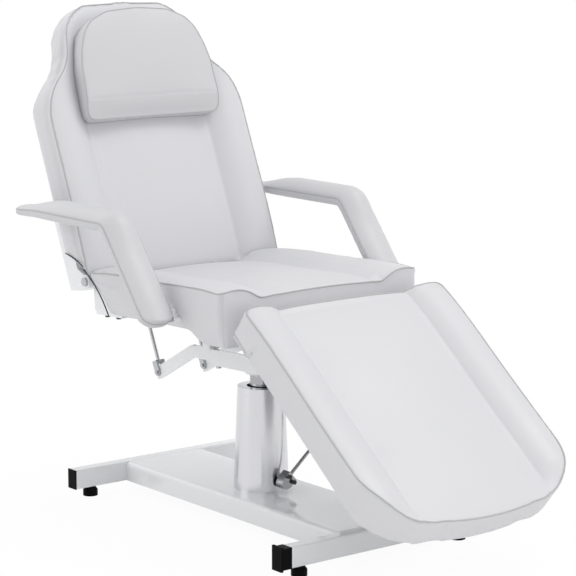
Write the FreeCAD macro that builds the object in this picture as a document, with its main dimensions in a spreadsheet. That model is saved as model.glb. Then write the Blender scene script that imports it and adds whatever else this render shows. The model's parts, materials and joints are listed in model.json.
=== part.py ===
"""Hydraulic massage bed: an assembly of separate pieces, in millimetres.

The bed stands on the floor at z = 0.  X runs across it, the foot end points to -Y and the head end to +Y.
The seat, the backrest and the leg rest are each drawn in a frame of their own and then stood in place.
"""
import FreeCAD
import Part
import Sketcher
import math
import os
from types import SimpleNamespace

V = FreeCAD.Vector
ACROSS = V(1, 0, 0)
SIDES = (("left", -1), ("right", 1))
QUARTER_TURN = 90
HALF_TURN = 180
FULL_TURN = 360

# Driving dimensions: name, millimetres or degrees, meaning.
DIMENSIONS = [
    ("overrun", 5, "how far a cutting tool stands past the face it cuts"),
    ("running_fit", 0.05, "gap on the radius between a pin or shaft and its bore"),
    ("seat_gap", 0.3, "gap between pieces that sit beside each other"),
    # Base
    ("column_setback", 89, "column axis behind the middle of the bed"),
    ("floor_gap", 25, "underside of the base above the floor"),
    ("base_width", 555, "length of a foot tube"),
    ("base_tube_depth", 35, "depth of a foot tube"),
    ("base_tube_height", 50, "height of a foot tube"),
    ("base_tube_wall", 2, "wall of a foot tube"),
    ("base_tube_round", 4, "outer corner radius of a foot tube"),
    ("rear_tube_reach", 430, "rear foot tube behind the column axis"),
    ("front_tube_reach", 457, "front foot tube ahead of the column axis"),
    ("base_plate_width", 245, "width of the base plate"),
    ("base_plate_wall", 4, "sheet thickness of the base plate"),
    ("base_plate_bend", 14, "outer bend radius of the base plate"),
    ("plug_depth", 25, "how far an end plug reaches into its tube"),
    ("plug_face", 3, "thickness of an end plug's face"),
    ("cap_length", 31, "length of a front end cap outside its tube"),
    ("cap_flange", 6, "length of the rim on a front end cap"),
    ("cap_flange_rise", 4, "rim of a front end cap above its block"),
    ("foot_pad_diameter", 38, "diameter of a levelling foot"),
    ("foot_pad_height", 22, "height of a levelling foot"),
    ("foot_pad_rim", 15, "height of a levelling foot's straight rim"),
    ("foot_neck_diameter", 28, "diameter of a levelling foot's top"),
    ("foot_stud_diameter", 10, "stud of a levelling foot"),
    ("foot_stud_top", 42, "top of a foot stud above the floor"),
    ("foot_stud_seat", 5, "bottom of a foot stud above the floor"),
    ("rear_foot_inset", 53, "rear levelling foot in from its tube's end"),
    ("front_foot_inset", 34, "front levelling foot in from its tube's end"),
    # Column
    ("cover_height", 257, "height of the column cover"),
    ("cover_foot_radius", 69, "radius of the column cover at its foot"),
    ("cover_top_radius", 58.5, "radius of the column cover at its top"),
    ("cover_wall", 1.5, "wall of the column cover"),
    ("cover_mouth_radius", 36, "radius of the mouth in the column cover's turned-in top"),
    ("pump_base_radius", 56, "radius of the pump base"),
    ("pump_base_height", 50, "height of the pump base"),
    ("pump_bolt_circle", 44, "radius of the circle of pump bolts"),
    ("pump_bolt_diameter", 8, "thread diameter of a pump bolt"),
    ("pump_bolt_reach", 25, "pump bolt above the base plate"),
    ("pump_radius", 42, "outer radius of the pump cylinder"),
    ("pump_bore_radius", 30, "bore radius of the pump cylinder"),
    ("pump_height", 175, "height of the pump cylinder"),
    ("gland_radius", 46, "radius of the gland on the pump cylinder"),
    ("gland_height", 16, "height of the gland"),
    ("wiper_radius", 36, "outer radius of the wiper ring"),
    ("wiper_height", 6, "height of the wiper ring"),
    ("piston_radius", 28, "radius of the piston"),
    ("piston_floor_gap", 4, "bottom of the lowered piston above the pump base"),
    ("lift_travel", 140, "height the pump lifts the bed"),
    # Pedal
    ("pedal_height", 26, "pedal shaft above the base plate"),
    ("pedal_shaft_radius", 7, "radius of the pedal shaft"),
    ("pedal_shaft_seat", 34, "pedal shaft's reach into the pump base"),
    ("pedal_shaft_reach", 103, "front end of the pedal shaft ahead of the column axis"),
    ("pedal_hole_gap", 4, "gap round the pedal shaft in the cover"),
    ("clamp_length", 26, "pedal clamp along its shaft"),
    ("clamp_radius", 14, "pedal clamp round its shaft"),
    ("clamp_arm", 27, "pedal clamp arm along the rod"),
    ("clamp_arm_depth", 32, "pedal clamp arm across the rod"),
    ("clamp_screw_diameter", 6, "thread of a clamp screw"),
    ("clamp_screw_head", 11, "head diameter of a clamp screw"),
    ("clamp_screw_head_height", 8, "head height of a clamp screw"),
    ("pedal_rod_radius", 4.5, "radius of the pedal rod"),
    ("pedal_rod_length", 150, "rising run of the pedal rod"),
    ("pedal_rod_bend", 40, "bend radius of the pedal rod"),
    ("pedal_rod_end", 110, "level run of the pedal rod"),
    ("pedal_rod_rise", 41, "rise of the pedal rod at rest, degrees"),
    ("pedal_pad_radius", 13, "radius of the rubber pedal pad"),
    ("pedal_pad_length", 80, "length of the rubber pedal pad"),
    ("pedal_pad_round", 5, "rounding of the rubber pedal pad"),
    # Seat frame
    ("rail_top", 420, "top of the support rails above the floor at the column"),
    ("seat_tilt", 2.1, "backward tilt of the seat, degrees"),
    ("rail_spacing", 144, "distance between the middles of the support rails"),
    ("rail_width", 14, "width of a support rail"),
    ("rail_height", 30, "height of a support rail"),
    ("rail_front_reach", 215, "front end of a support rail ahead of the column"),
    ("rail_bend_reach", 186, "bend of a support rail behind the column"),
    ("rail_drop", 26.3, "downward bend of a support rail, degrees"),
    ("rail_tail", 179, "length of a support rail behind its bend"),
    ("head_plate_wall", 10, "thickness of the piston head's plate"),
    ("head_plate_length", 200, "length of the piston head's plate"),
    ("head_collar_radius", 40, "radius of the piston head's collar"),
    ("head_collar_height", 16, "collar below the piston head's plate"),
    ("head_socket_depth", 20, "depth of the piston's socket in its head"),
    ("head_bolt_diameter", 8, "thread of a head bolt"),
    ("head_bolt_inset", 20, "head bolts in from the plate's ends"),
    ("post_width", 30, "side of a seat post"),
    ("post_spacing", 220, "distance between the front and the rear seat posts"),
    ("seat_frame_base", 105, "underside of the seat frame above the support rails"),
    ("seat_side_height", 45, "height of a seat side rail"),
    ("seat_side_width", 26, "width of a seat side rail"),
    ("side_rail_inset", 70, "inner face of a seat side rail in from the cushion's side"),
    ("seat_side_front", 215, "front end of a seat side rail ahead of the column"),
    ("frame_tube_wall", 2, "wall of the frame tubes"),
    ("cross_tube_side", 40, "side of a seat cross tube"),
    ("front_tube_side", 30, "depth of the front seat tube"),
    ("board_wall", 12, "thickness of the upholstery boards"),
    # Seat cushion
    ("cushion_width", 600, "width of the seat, the leg rest and the backrest"),
    ("seat_front", 247, "front of the seat ahead of the column"),
    ("seat_rear", 296, "rear of the seat behind the column"),
    ("seat_top", 199, "seat piping above the support rails"),
    ("seat_depth", 102, "height of the seat's sides"),
    ("apron_drop", 31, "front apron below the seat's sides"),
    ("apron_reach", 155, "foot of the apron's step ahead of the column"),
    ("apron_step", 48, "length of the apron's step"),
    ("seat_corner", 22, "corner radius of the seat"),
    ("seat_crown", 9, "crown of the seat's side bolsters"),
    ("seat_dip", 16, "seat panel below the piping"),
    ("seat_bolster", 112, "width of a seat bolster"),
    ("panel_crown", 6, "crown of the middle panels"),
    ("end_drop", 7, "cushion tops fall towards their ends"),
    ("side_tuck", 9, "cushion sides drawn in at their lower edge"),
    ("side_swell", 5, "swell of the cushion sides"),
    ("skirt_wall", 25, "cushion wall ahead of and behind the frame recess"),
    ("recess_gap", 2, "gap between the frame and the cushion's recess"),
    ("hinge_arc_radius", 271, "radius of the hinge cut-out in the seat and the back"),
    ("hinge_arc_reach", 455, "middle of the hinge cut-out behind the column"),
    ("hinge_arc_drop", 38.5, "middle of the hinge cut-out below the top of the support rails"),
    ("hinge_cut_gap", 8, "backrest's hinge cut-out starts inside the hinge upright"),
    ("seat_recess_rear", 200, "rear of the seat's frame recess behind the column"),
    # Back hinge
    ("back_pivot_reach", 332, "back pivot behind the column, along the seat"),
    ("back_pivot_rise", 168, "back pivot above the support rails"),
    ("back_pivot_radius", 6, "radius of the back pivot bolt"),
    ("upright_front", 272, "front of a hinge upright behind the column"),
    ("upright_base", 83, "underside of a hinge upright above the support rails"),
    ("upright_foot", 45, "foot of a hinge upright under its side rail"),
    ("upright_depth", 73, "depth of a hinge upright"),
    ("upright_shoulder", 57, "front edge of a hinge upright"),
    ("upright_round", 10, "lower corner radius of a hinge upright"),
    ("pivot_boss", 17, "radius of the hinge bosses"),
    ("washer_wall", 3.5, "thickness of a back pivot washer"),
    ("washer_radius", 12, "radius of a back pivot washer"),
    ("bolt_head_wall", 6, "height of a bolt head"),
    # Backrest
    ("back_angle", 67, "backrest above the level at rest, degrees"),
    ("back_pivot_depth", 34, "back pivot behind the backrest's piping"),
    ("back_pivot_drop", 12, "back pivot below the backrest"),
    ("back_height", 702, "height of the backrest"),
    ("back_depth", 95, "thickness of the backrest"),
    ("back_crown", 8, "crown of the backrest's bolsters"),
    ("back_dip", 16, "backrest panel below the piping"),
    ("back_bolster", 140, "width of a backrest bolster"),
    ("back_arm_width", 30, "width of a back arm"),
    ("back_arm_front", 23, "front face of a back arm behind the pivot"),
    ("back_arm_depth", 51, "depth of a back arm"),
    ("back_arm_foot", 2, "foot of a back arm below the pivot"),
    ("back_arm_web", 40, "top of a back arm's web above the pivot"),
    ("back_tube_depth", 30, "depth of the back frame tubes"),
    ("back_tube_width", 35, "width of the back frame tubes"),
    ("back_recess_front", 18, "floor of the backrest's recess behind the pivot"),
    ("back_upright_spacing", 300, "distance between the back uprights"),
    ("back_upper_tube", 440, "upper back tube above the pivot"),
    ("back_recess_margin", 42, "cushion left round the backrest's recess"),
    # Struts
    ("strut_head_depth", 95, "upper pin of a back strut behind the back pivot"),
    ("strut_head_rise", 196, "upper pin of a back strut above the back pivot, along the backrest"),
    ("strut_pin_inset", 12, "lower strut pin in from the support rail's end"),
    ("strut_pin_radius", 5, "radius of a strut pin"),
    ("strut_eye_radius", 9, "radius of a strut eye"),
    ("strut_eye_width", 12, "width of a strut eye"),
    ("strut_rod_radius", 4.5, "radius of a strut rod"),
    ("strut_body_radius", 11, "radius of a strut cylinder"),
    ("strut_body_wall", 2, "wall of a strut cylinder"),
    ("back_strut_body", 216, "back strut cylinder below its upper pin"),
    ("back_strut_overlap", 12, "back strut rod inside its cylinder at rest"),
    ("fork_wall", 5, "thickness of a cheek of a back strut's fork"),
    ("fork_slot", 21, "depth of a back strut's fork above its pin"),
    ("fork_bridge", 10, "thickness of the bridge over a back strut's fork"),
    ("strut_head", 18, "closed top of a strut cylinder below its pin"),
    ("strut_cheek_wall", 4, "thickness of a strut bracket's cheek"),
    ("strut_cheek_gap", 1, "gap beside a strut eye"),
    ("strut_cheek_margin", 13, "strut bracket round its slot"),
    ("strut_slot_gap", 0.3, "side clearance of the strut slot"),
    # Leg rest
    ("leg_angle", 38.3, "leg rest below the level at rest, degrees"),
    ("leg_gap", 13, "gap between the seat and the raised leg rest"),
    ("leg_pivot_gap", 16, "leg pivot below the leg rest"),
    ("leg_length", 667, "length of the leg rest"),
    ("leg_depth", 94, "thickness of the leg rest"),
    ("leg_corner", 165, "radius of the leg rest's foot corners"),
    ("leg_bow", 12, "bow of the leg rest's foot edge"),
    ("leg_head_corner", 24, "radius of the leg rest's head corners"),
    ("leg_crown", 7, "crown of the leg rest's bolsters"),
    ("leg_dip", 14, "leg rest panel below the piping"),
    ("leg_bolster", 110, "width of a leg rest bolster"),
    ("leg_pin_radius", 5, "radius of a leg hinge bolt"),
    ("leg_boss", 13, "radius of the leg hinge bosses"),
    ("leg_bracket_inset", 30, "inner face of a leg hinge bracket in from the seat side rail's inner face"),
    ("leg_bracket_wall", 8, "thickness of a leg hinge bracket"),
    ("leg_bracket_depth", 25, "depth of a leg hinge bracket below the seat frame"),
    ("leg_ear_gap", 1.5, "gap between a leg hinge bracket and its leg arm"),
    ("leg_arm_width", 25, "width of a leg arm"),
    ("leg_arm_height", 30, "height of a leg arm"),
    ("leg_arm_length", 515, "length of a leg arm"),
    ("leg_web_length", 60, "length of a leg arm's web"),
    ("leg_upper_tube", 120, "upper leg tube from the leg pivot"),
    ("leg_lower_tube", 480, "lower leg tube from the leg pivot"),
    ("leg_strut_tube", 330, "strut tube of the leg rest from the leg pivot"),
    ("leg_tube_side", 25, "side of a leg cross tube"),
    ("leg_strut_seat", 125, "rear pin of the leg strut ahead of the column"),
    ("leg_strut_drop", 17, "rear pin of the leg strut below the rails' top"),
    ("leg_strut_body", 260, "leg strut cylinder ahead of its rear pin"),
    ("leg_strut_overlap", 60, "leg strut rod inside its cylinder at rest"),
    ("leg_strut_pin_drop", 20, "front pin of the leg strut below its tube"),
    # Armrests
    ("arm_gap", 18, "gap between the cushion's side and an armrest"),
    ("arm_width", 91, "width of an armrest"),
    ("arm_band", 18, "height of an armrest's side band"),
    ("arm_crown", 18, "crown of an armrest above its seam"),
    ("arm_seam", 760, "armrest seam above the floor"),
    ("arm_rear", 490, "rear tip of an armrest behind the column"),
    ("arm_slope", 51, "slope of an armrest's front, degrees"),
    ("arm_foot_reach", 90, "foot of an armrest's seam ahead of the column"),
    ("arm_foot_rise", 120, "foot of an armrest's seam above the support rails"),
    ("arm_bend", 34, "bend radius of an armrest"),
    ("arm_tip_round", 38, "plan rounding of an armrest's tips"),
    ("arm_bolt_diameter", 8, "thread of an arm bolt"),
    ("arm_bolt_near", 13, "lower arm bolt from the armrest's foot"),
    ("arm_bolt_far", 37, "upper arm bolt from the armrest's foot"),
    ("arm_bolt_reach", 40, "arm bolt inside the armrest"),
    ("arm_spacer_radius", 7, "radius of an arm spacer"),
    # Pillow
    ("pillow_width", 410, "greatest width of the pillow"),
    ("pillow_height", 300, "height of the pillow"),
    ("pillow_depth", 98, "thickness of the pillow"),
    ("pillow_foot", 372, "lower edge of the pillow above the backrest's lower edge"),
    ("pillow_inset", 26, "pillow drawn in at its faces"),
]

# Half outline of the backrest, as shares of its half width and its height: the end of its straight side, then
# arcs by their middle and end.
BACK_SHOULDER_SHARES = ((1.0, 0.555), (0.955, 0.655), (0.79, 0.745), (0.71, 0.80), (0.66, 0.868),
                        (0.58, 0.945), (0.38, 0.996))
# Half outline of the pillow, as shares of its half width and its height.
PILLOW_SHARES = ((0.86, 0.0), (0.955, 0.03), (0.97, 0.11), (1.0, 0.36), (0.955, 0.70), (0.76, 0.91))
# The pillow's drawn-in faces and swell, as shares of its inset and its depth.
PILLOW_LAYER_SHARES = ((1.0, 0.0), (0.0, 0.53), (1.0, 1.0))
# Places of the cross-sections along a cushion.
SECTION_SHARES = (0.0, 0.12, 0.5, 0.88, 1.0)
# Corner of a bolt's hexagon, and radius of a round bolt head, as shares of the thread's diameter and radius.
HEX_CORNER_SHARE = 0.94
ROUND_HEAD_SHARE = 1.8
# Bolts on the diagonals of their circle.
DIAGONAL_SHARE = math.sqrt(0.5)
# Brow of a hinge upright ahead of and above its bolt, as shares of the boss radius.
UPRIGHT_BROW_SHARES = (0.85, 0.5)
# An edge runs along an axis when this share of its direction does.
ALONG_SHARE = 0.9
# Steps in which the travel of a strut is followed.
TRAVEL_STEPS = 20


class Size(float):
    """A number that carries the sheet formula it was worked out from."""

    def __new__(cls, number, formula):
        size = super().__new__(cls, number)
        size.formula = formula
        return size

    def __add__(self, other):
        return Size(float(self) + float(other), f"({self.formula} + {formula_of(other)})")

    def __sub__(self, other):
        return Size(float(self) - float(other), f"({self.formula} - {formula_of(other)})")

    def __mul__(self, other):
        return Size(float(self) * float(other), f"({self.formula} * {formula_of(other)})")

    def __truediv__(self, other):
        return Size(float(self) / float(other), f"({self.formula} / {formula_of(other)})")

    def __neg__(self):
        return Size(-float(self), f"(0 - {self.formula})")

    def __rsub__(self, other):
        return -self + other

    __radd__ = __add__
    __rmul__ = __mul__


def formula_of(number):
    """The sheet formula of a size, or the digits of a plain number."""
    return number.formula if isinstance(number, Size) else repr(float(number))


doc = FreeCAD.newDocument("massage_bed")
parts = []


def write_sheet():
    """Put the driving dimensions in a sheet and give them back as sizes."""
    sheet = doc.addObject("Spreadsheet::Sheet", "Dimensions")
    for row, (name, number, meaning) in enumerate(DIMENSIONS, 1):
        sheet.set(f"A{row}", meaning)
        sheet.set(f"B{row}", str(number))
        sheet.setAlias(f"B{row}", name)
    doc.recompute()
    return SimpleNamespace(**{name: Size(sheet.get(name), f"Dimensions.{name}") for name, _, _ in DIMENSIONS})


d = write_sheet()


def turned(x, y, z, degrees):
    """A frame at a place, turned about the axis that runs across the bed."""
    return FreeCAD.Placement(V(x, y, z), FreeCAD.Rotation(ACROSS, degrees))


def shifted(x, y, z):
    """A place without a turn."""
    return FreeCAD.Placement(V(x, y, z), FreeCAD.Rotation())


# Frames of the bed, the seat, the backrest and the leg rest.
COLUMN = shifted(0, d.column_setback, 0)
SEAT = turned(0, d.column_setback, d.rail_top, -d.seat_tilt)
BACK_PIVOT = SEAT.multVec(V(0, d.back_pivot_reach, d.back_pivot_rise))
BACK = turned(0, BACK_PIVOT.y, BACK_PIVOT.z, d.back_angle - QUARTER_TURN)
LEG_PIVOT = SEAT.multVec(V(0, -d.seat_front - d.leg_gap, d.seat_top - d.leg_depth - d.leg_pivot_gap))
LEG = turned(0, LEG_PIVOT.y, LEG_PIVOT.z, d.leg_angle)


# Drawing helpers

def keep(item, label):
    """Name a finished piece and put it on the list of pieces."""
    item.Label = label
    parts.append(item)
    return item


def new_body(label, kept=True):
    """A body for one piece, or for the pattern piece of a group."""
    body = doc.addObject("PartDesign::Body", label)
    if kept:
        keep(body, label)
    return body


def new_sketch(body, role):
    """A sketch on one of the body's own origin planes."""
    plane = [item for item in body.Origin.OriginFeatures if item.Role == role][0]
    sketch = body.newObject("Sketcher::SketchObject", "Sketch")
    sketch.AttachmentSupport = (plane, [""])
    sketch.MapMode = "FlatFace"
    return sketch


def bind(item, field, size):
    """Give a field a size, tied to the sheet when the size comes from it."""
    if isinstance(size, Size):
        item.setExpression(field, size.formula)
    else:
        setattr(item, field, size)


def fix(sketch, kind, geometry, point, size):
    """Constrain one point or circle of a sketch to a size."""
    if point is None:
        index = sketch.addConstraint(Sketcher.Constraint(kind, geometry, float(size)))
    else:
        index = sketch.addConstraint(Sketcher.Constraint(kind, geometry, point, float(size)))
    if isinstance(size, Size):
        sketch.setExpression(f"Constraints[{index}]", size.formula)


def polygon(sketch, points):
    """Draw a closed outline of straight lines through points given as sizes."""
    first = sketch.GeometryCount
    count = len(points)
    corners = [V(float(u), float(v), 0) for u, v in points]
    for index in range(count):
        sketch.addGeometry(Part.LineSegment(corners[index], corners[(index + 1) % count]))
    for index in range(count):
        after = first + (index + 1) % count
        sketch.addConstraint(Sketcher.Constraint("Coincident", first + index, 2, after, 1))
    for index, (u, v) in enumerate(points):
        fix(sketch, "DistanceX", first + index, 1, u)
        fix(sketch, "DistanceY", first + index, 1, v)


def rectangle(sketch, u0, v0, u1, v1):
    """Draw a rectangle between two corners."""
    polygon(sketch, [(u0, v0), (u1, v0), (u1, v1), (u0, v1)])


def circle(sketch, u, v, radius):
    """Draw a circle."""
    index = sketch.addGeometry(Part.Circle(V(float(u), float(v), 0), V(0, 0, 1), float(radius)))
    fix(sketch, "Radius", index, None, radius)
    fix(sketch, "DistanceX", index, 3, u)
    fix(sketch, "DistanceY", index, 3, v)


def pad(body, sketch, length, backwards=False):
    """Thicken a sketch along its normal."""
    feature = body.newObject("PartDesign::Pad", "Pad")
    feature.Profile = sketch
    feature.Reversed = backwards
    bind(feature, "Length", length)
    doc.recompute()
    return feature


def pocket(body, sketch, depth=None, along=True):
    """Cut a sketch right through the body, or to a depth along its normal."""
    before = body.Shape.Volume
    feature = body.newObject("PartDesign::Pocket", "Pocket")
    feature.Profile = sketch
    if depth is None:
        feature.Type = "ThroughAll"
        feature.SideType = "Symmetric"
    else:
        feature.Reversed = along
        bind(feature, "Length", depth)
    doc.recompute()
    if body.Shape.Volume >= before:
        raise ValueError(f"{body.Name}: a pocket cut nothing")
    return feature


def revolve(body, points):
    """Turn a half outline of radius and height about the upright axis."""
    sketch = new_sketch(body, "XZ_Plane")
    polygon(sketch, points)
    feature = body.newObject("PartDesign::Revolution", "Revolution")
    feature.Profile = sketch
    feature.ReferenceAxis = (sketch, ["V_Axis"])
    feature.Angle = FULL_TURN
    doc.recompute()
    return feature


def round_edges(body, feature, radius, test):
    """Round the edges of a feature whose middle and direction pass a test."""
    names = []
    for index, edge in enumerate(feature.Shape.Edges, 1):
        middle = edge.valueAt((edge.FirstParameter + edge.LastParameter) / 2)
        ends = [vertex.Point for vertex in edge.Vertexes]
        if len(ends) == 2 and test(middle, (ends[1] - ends[0]).normalize()):
            names.append(f"Edge{index}")
    fillet = body.newObject("PartDesign::Fillet", "Fillet")
    fillet.Base = (feature, names)
    bind(fillet, "Radius", radius)
    doc.recompute()
    return fillet


def stand(item, frame, x=0, y=0, z=0):
    """Stand a piece at a point of a frame."""
    item.Placement = frame.multiply(shifted(x, y, z))


def solid(label, shape, frame=FreeCAD.Placement()):
    """A piece whose solid is worked out directly, stood in a frame."""
    item = doc.addObject("Part::Feature", label)
    item.Shape = shape
    item.Placement = frame
    return keep(item, label)


def group(label, pattern, frame, places):
    """Copies of one pattern piece, as separate solids of one node."""
    shape = pattern.Shape.copy()
    shape.Placement = FreeCAD.Placement()
    copies = []
    for place in places:
        copy = shape.copy()
        copy.Placement = place
        copies.append(copy)
    return solid(label, Part.makeCompound(copies), frame)


def both_sides(label, pattern, frame, inner, width):
    """A pattern piece on both sides of the bed, its inner face at a distance from the middle."""
    return group(label, pattern, frame, [shifted(-inner - width, 0, 0), shifted(inner, 0, 0)])


def side_plates(label, outline, thickness, frame, inner, round_parts, holes):
    """A plate drawn from the side, with round ends added and holes cut, on both sides of the bed."""
    body = new_body(f"{label}_pattern", kept=False)
    sketch = new_sketch(body, "YZ_Plane")
    polygon(sketch, outline)
    pad(body, sketch, thickness)
    for y, z, radius in round_parts:
        sketch = new_sketch(body, "YZ_Plane")
        circle(sketch, y, z, radius)
        pad(body, sketch, thickness)
    for y, z, radius in holes:
        sketch = new_sketch(body, "YZ_Plane")
        circle(sketch, y, z, radius)
        pocket(body, sketch)
    return both_sides(label, body, frame, inner, thickness)


def box_tube(label, axis, length, wide, high, wall, frame, x, y, z, kept=True):
    """A square tube with open ends, its corner at a point of a frame; high runs back on an upright tube."""
    body = new_body(label, kept)
    sketch = new_sketch(body, {"X": "YZ_Plane", "Y": "XZ_Plane", "Z": "XY_Plane"}[axis])
    rectangle(sketch, 0, 0, wide, high)
    rectangle(sketch, wall, wall, wide - wall, high - wall)
    pad(body, sketch, length, backwards=axis == "Y")
    stand(body, frame, x, y, z)
    return body


def wire(start, *steps):
    """A closed outline: each step is an end point, or a middle and an end point of an arc."""
    edges = []
    for step in steps:
        if len(step) == 1:
            edges.append(Part.LineSegment(start, step[0]).toShape())
        else:
            edges.append(Part.Arc(start, *step).toShape())
        start = step[-1]
    return Part.Wire(edges)


def bar(x0, y0, z0, x1, y1, z1):
    """A block between two corners."""
    return Part.makeBox(x1 - x0, y1 - y0, z1 - z0, V(x0, y0, z0))


def rod(radius, start, end):
    """A round bar between two points."""
    return Part.makeCylinder(radius, (end - start).Length, start, end - start)


def hex_bolt(label, diameter, reach):
    """A bolt along +Z with its head under z = 0."""
    body = new_body(label, kept=False)
    sketch = new_sketch(body, "XY_Plane")
    corner = diameter * HEX_CORNER_SHARE
    turns = [math.radians(FULL_TURN * index / 6) for index in range(6)]
    points = [(corner * math.cos(turn), corner * math.sin(turn)) for turn in turns]
    polygon(sketch, points)
    pad(body, sketch, d.bolt_head_wall, backwards=True)
    sketch = new_sketch(body, "XY_Plane")
    circle(sketch, 0, 0, diameter / 2)
    pad(body, sketch, reach)
    return body


# Base

BASE_TOP = d.floor_gap + d.base_tube_height


def foot_tube(label, reach, foot_inset):
    """A foot tube across the bed, with holes for the studs of its levelling feet."""
    body = new_body(label)
    sketch = new_sketch(body, "YZ_Plane")
    half = d.base_tube_depth / 2
    wall = d.base_tube_wall
    rectangle(sketch, -half, 0, half, d.base_tube_height)
    rectangle(sketch, wall - half, wall, half - wall, d.base_tube_height - wall)
    feature = pad(body, sketch, d.base_width)
    round_edges(body, feature, d.base_tube_round,
                lambda middle, way: abs(way.x) > ALONG_SHARE and abs(abs(middle.y) - half) < wall / 2)
    sketch = new_sketch(body, "XY_Plane")
    for x in (foot_inset, d.base_width - foot_inset):
        circle(sketch, x, 0, d.foot_stud_diameter / 2 + d.running_fit)
    pocket(body, sketch, wall * 2)
    stand(body, COLUMN, -d.base_width / 2, reach, d.floor_gap)


def base_plate():
    """The inverted channel between the foot tubes, with rounded upper bends."""
    body = new_body("base_plate")
    sketch = new_sketch(body, "XZ_Plane")
    half = d.base_plate_width / 2
    wall = d.base_plate_wall
    top = d.base_tube_height
    polygon(sketch, [(-half, 0), (-half, top), (half, top), (half, 0), (half - wall, 0),
                     (half - wall, top - wall), (wall - half, top - wall), (wall - half, 0)])
    length = d.rear_tube_reach + d.front_tube_reach - d.base_tube_depth
    feature = pad(body, sketch, length, backwards=True)
    outer = round_edges(body, feature, d.base_plate_bend,
                        lambda middle, way: abs(way.y) > ALONG_SHARE and middle.z > top - wall / 2)

    def inner_corner(middle, way):
        under_top = abs(middle.z - top + wall) < wall / 4
        return abs(way.y) > ALONG_SHARE and under_top and abs(middle.x) > half - 2 * wall

    round_edges(body, outer, d.base_plate_bend - wall, inner_corner)
    sketch = new_sketch(body, "XY_Plane")
    axis = d.front_tube_reach - d.base_tube_depth / 2
    for sign_x in (-1, 1):
        for sign_y in (-1, 1):
            reach = d.pump_bolt_circle * DIAGONAL_SHARE
            circle(sketch, sign_x * reach, axis + sign_y * reach, d.pump_bolt_diameter / 2 + d.running_fit)
    pocket(body, sketch)
    stand(body, COLUMN, 0, -axis, d.floor_gap)


def end_plugs():
    """Rear plugs with a face on the tube's end, and front caps with a block and a rim outside the tube."""
    half = d.base_tube_depth / 2
    inner = half - d.base_tube_wall - d.seat_gap
    low = d.base_tube_wall + d.seat_gap
    plug = new_body("rear_plug_pattern", kept=False)
    sketch = new_sketch(plug, "YZ_Plane")
    rectangle(sketch, -half, 0, half, d.base_tube_height)
    pad(plug, sketch, d.plug_face)
    sketch = new_sketch(plug, "YZ_Plane")
    rectangle(sketch, -inner, low, inner, d.base_tube_height - low)
    pad(plug, sketch, d.plug_depth, backwards=True)
    cap = new_body("front_cap_pattern", kept=False)
    sketch = new_sketch(cap, "YZ_Plane")
    rectangle(sketch, -half, 0, half, d.base_tube_height)
    pad(cap, sketch, d.cap_length)
    sketch = new_sketch(cap, "YZ_Plane")
    rectangle(sketch, -inner, low, inner, d.base_tube_height - low)
    pad(cap, sketch, d.plug_depth, backwards=True)
    rim = new_sketch(cap, "YZ_Plane")
    rectangle(rim, -half, -d.cap_flange_rise, half, d.base_tube_height + d.cap_flange_rise)
    rim.AttachmentOffset = shifted(0, 0, d.cap_length - d.cap_flange)
    rim.setExpression("AttachmentOffset.Base.z", (d.cap_length - d.cap_flange).formula)
    pad(cap, rim, d.cap_flange)
    flip = FreeCAD.Rotation(V(0, 0, 1), HALF_TURN)
    kinds = (("rear_end_plugs", plug, d.rear_tube_reach), ("front_end_caps", cap, -d.front_tube_reach))
    for label, pattern, reach in kinds:
        places = [FreeCAD.Placement(V(d.base_width / 2, reach, d.floor_gap), FreeCAD.Rotation()),
                  FreeCAD.Placement(V(-d.base_width / 2, reach, d.floor_gap), flip)]
        group(label, pattern, COLUMN, places)


def levelling_feet():
    """Four round pads on studs that screw into the foot tubes."""
    foot = new_body("foot_pattern", kept=False)
    radius = d.foot_pad_diameter / 2
    stud = d.foot_stud_diameter / 2
    hole = stud + d.running_fit
    top = d.foot_pad_height
    seat = d.foot_stud_seat
    revolve(foot, [(0, 0), (radius, 0), (radius, d.foot_pad_rim), (d.foot_neck_diameter / 2, top), (hole, top),
                   (hole, seat), (0, seat)])
    pin = new_body("stud_pattern", kept=False)
    revolve(pin, [(0, seat), (stud, seat), (stud, d.foot_stud_top), (0, d.foot_stud_top)])
    places = []
    for inset, y in ((d.rear_foot_inset, d.rear_tube_reach), (d.front_foot_inset, -d.front_tube_reach)):
        for sign in (-1, 1):
            places.append(shifted(sign * (d.base_width / 2 - inset), y, 0))
    group("foot_pads", foot, COLUMN, places)
    group("foot_studs", pin, COLUMN, places)


# Column

PUMP_TOP = BASE_TOP + d.pump_base_height + d.pump_height
PEDAL_AXIS = BASE_TOP + d.pedal_height


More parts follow.
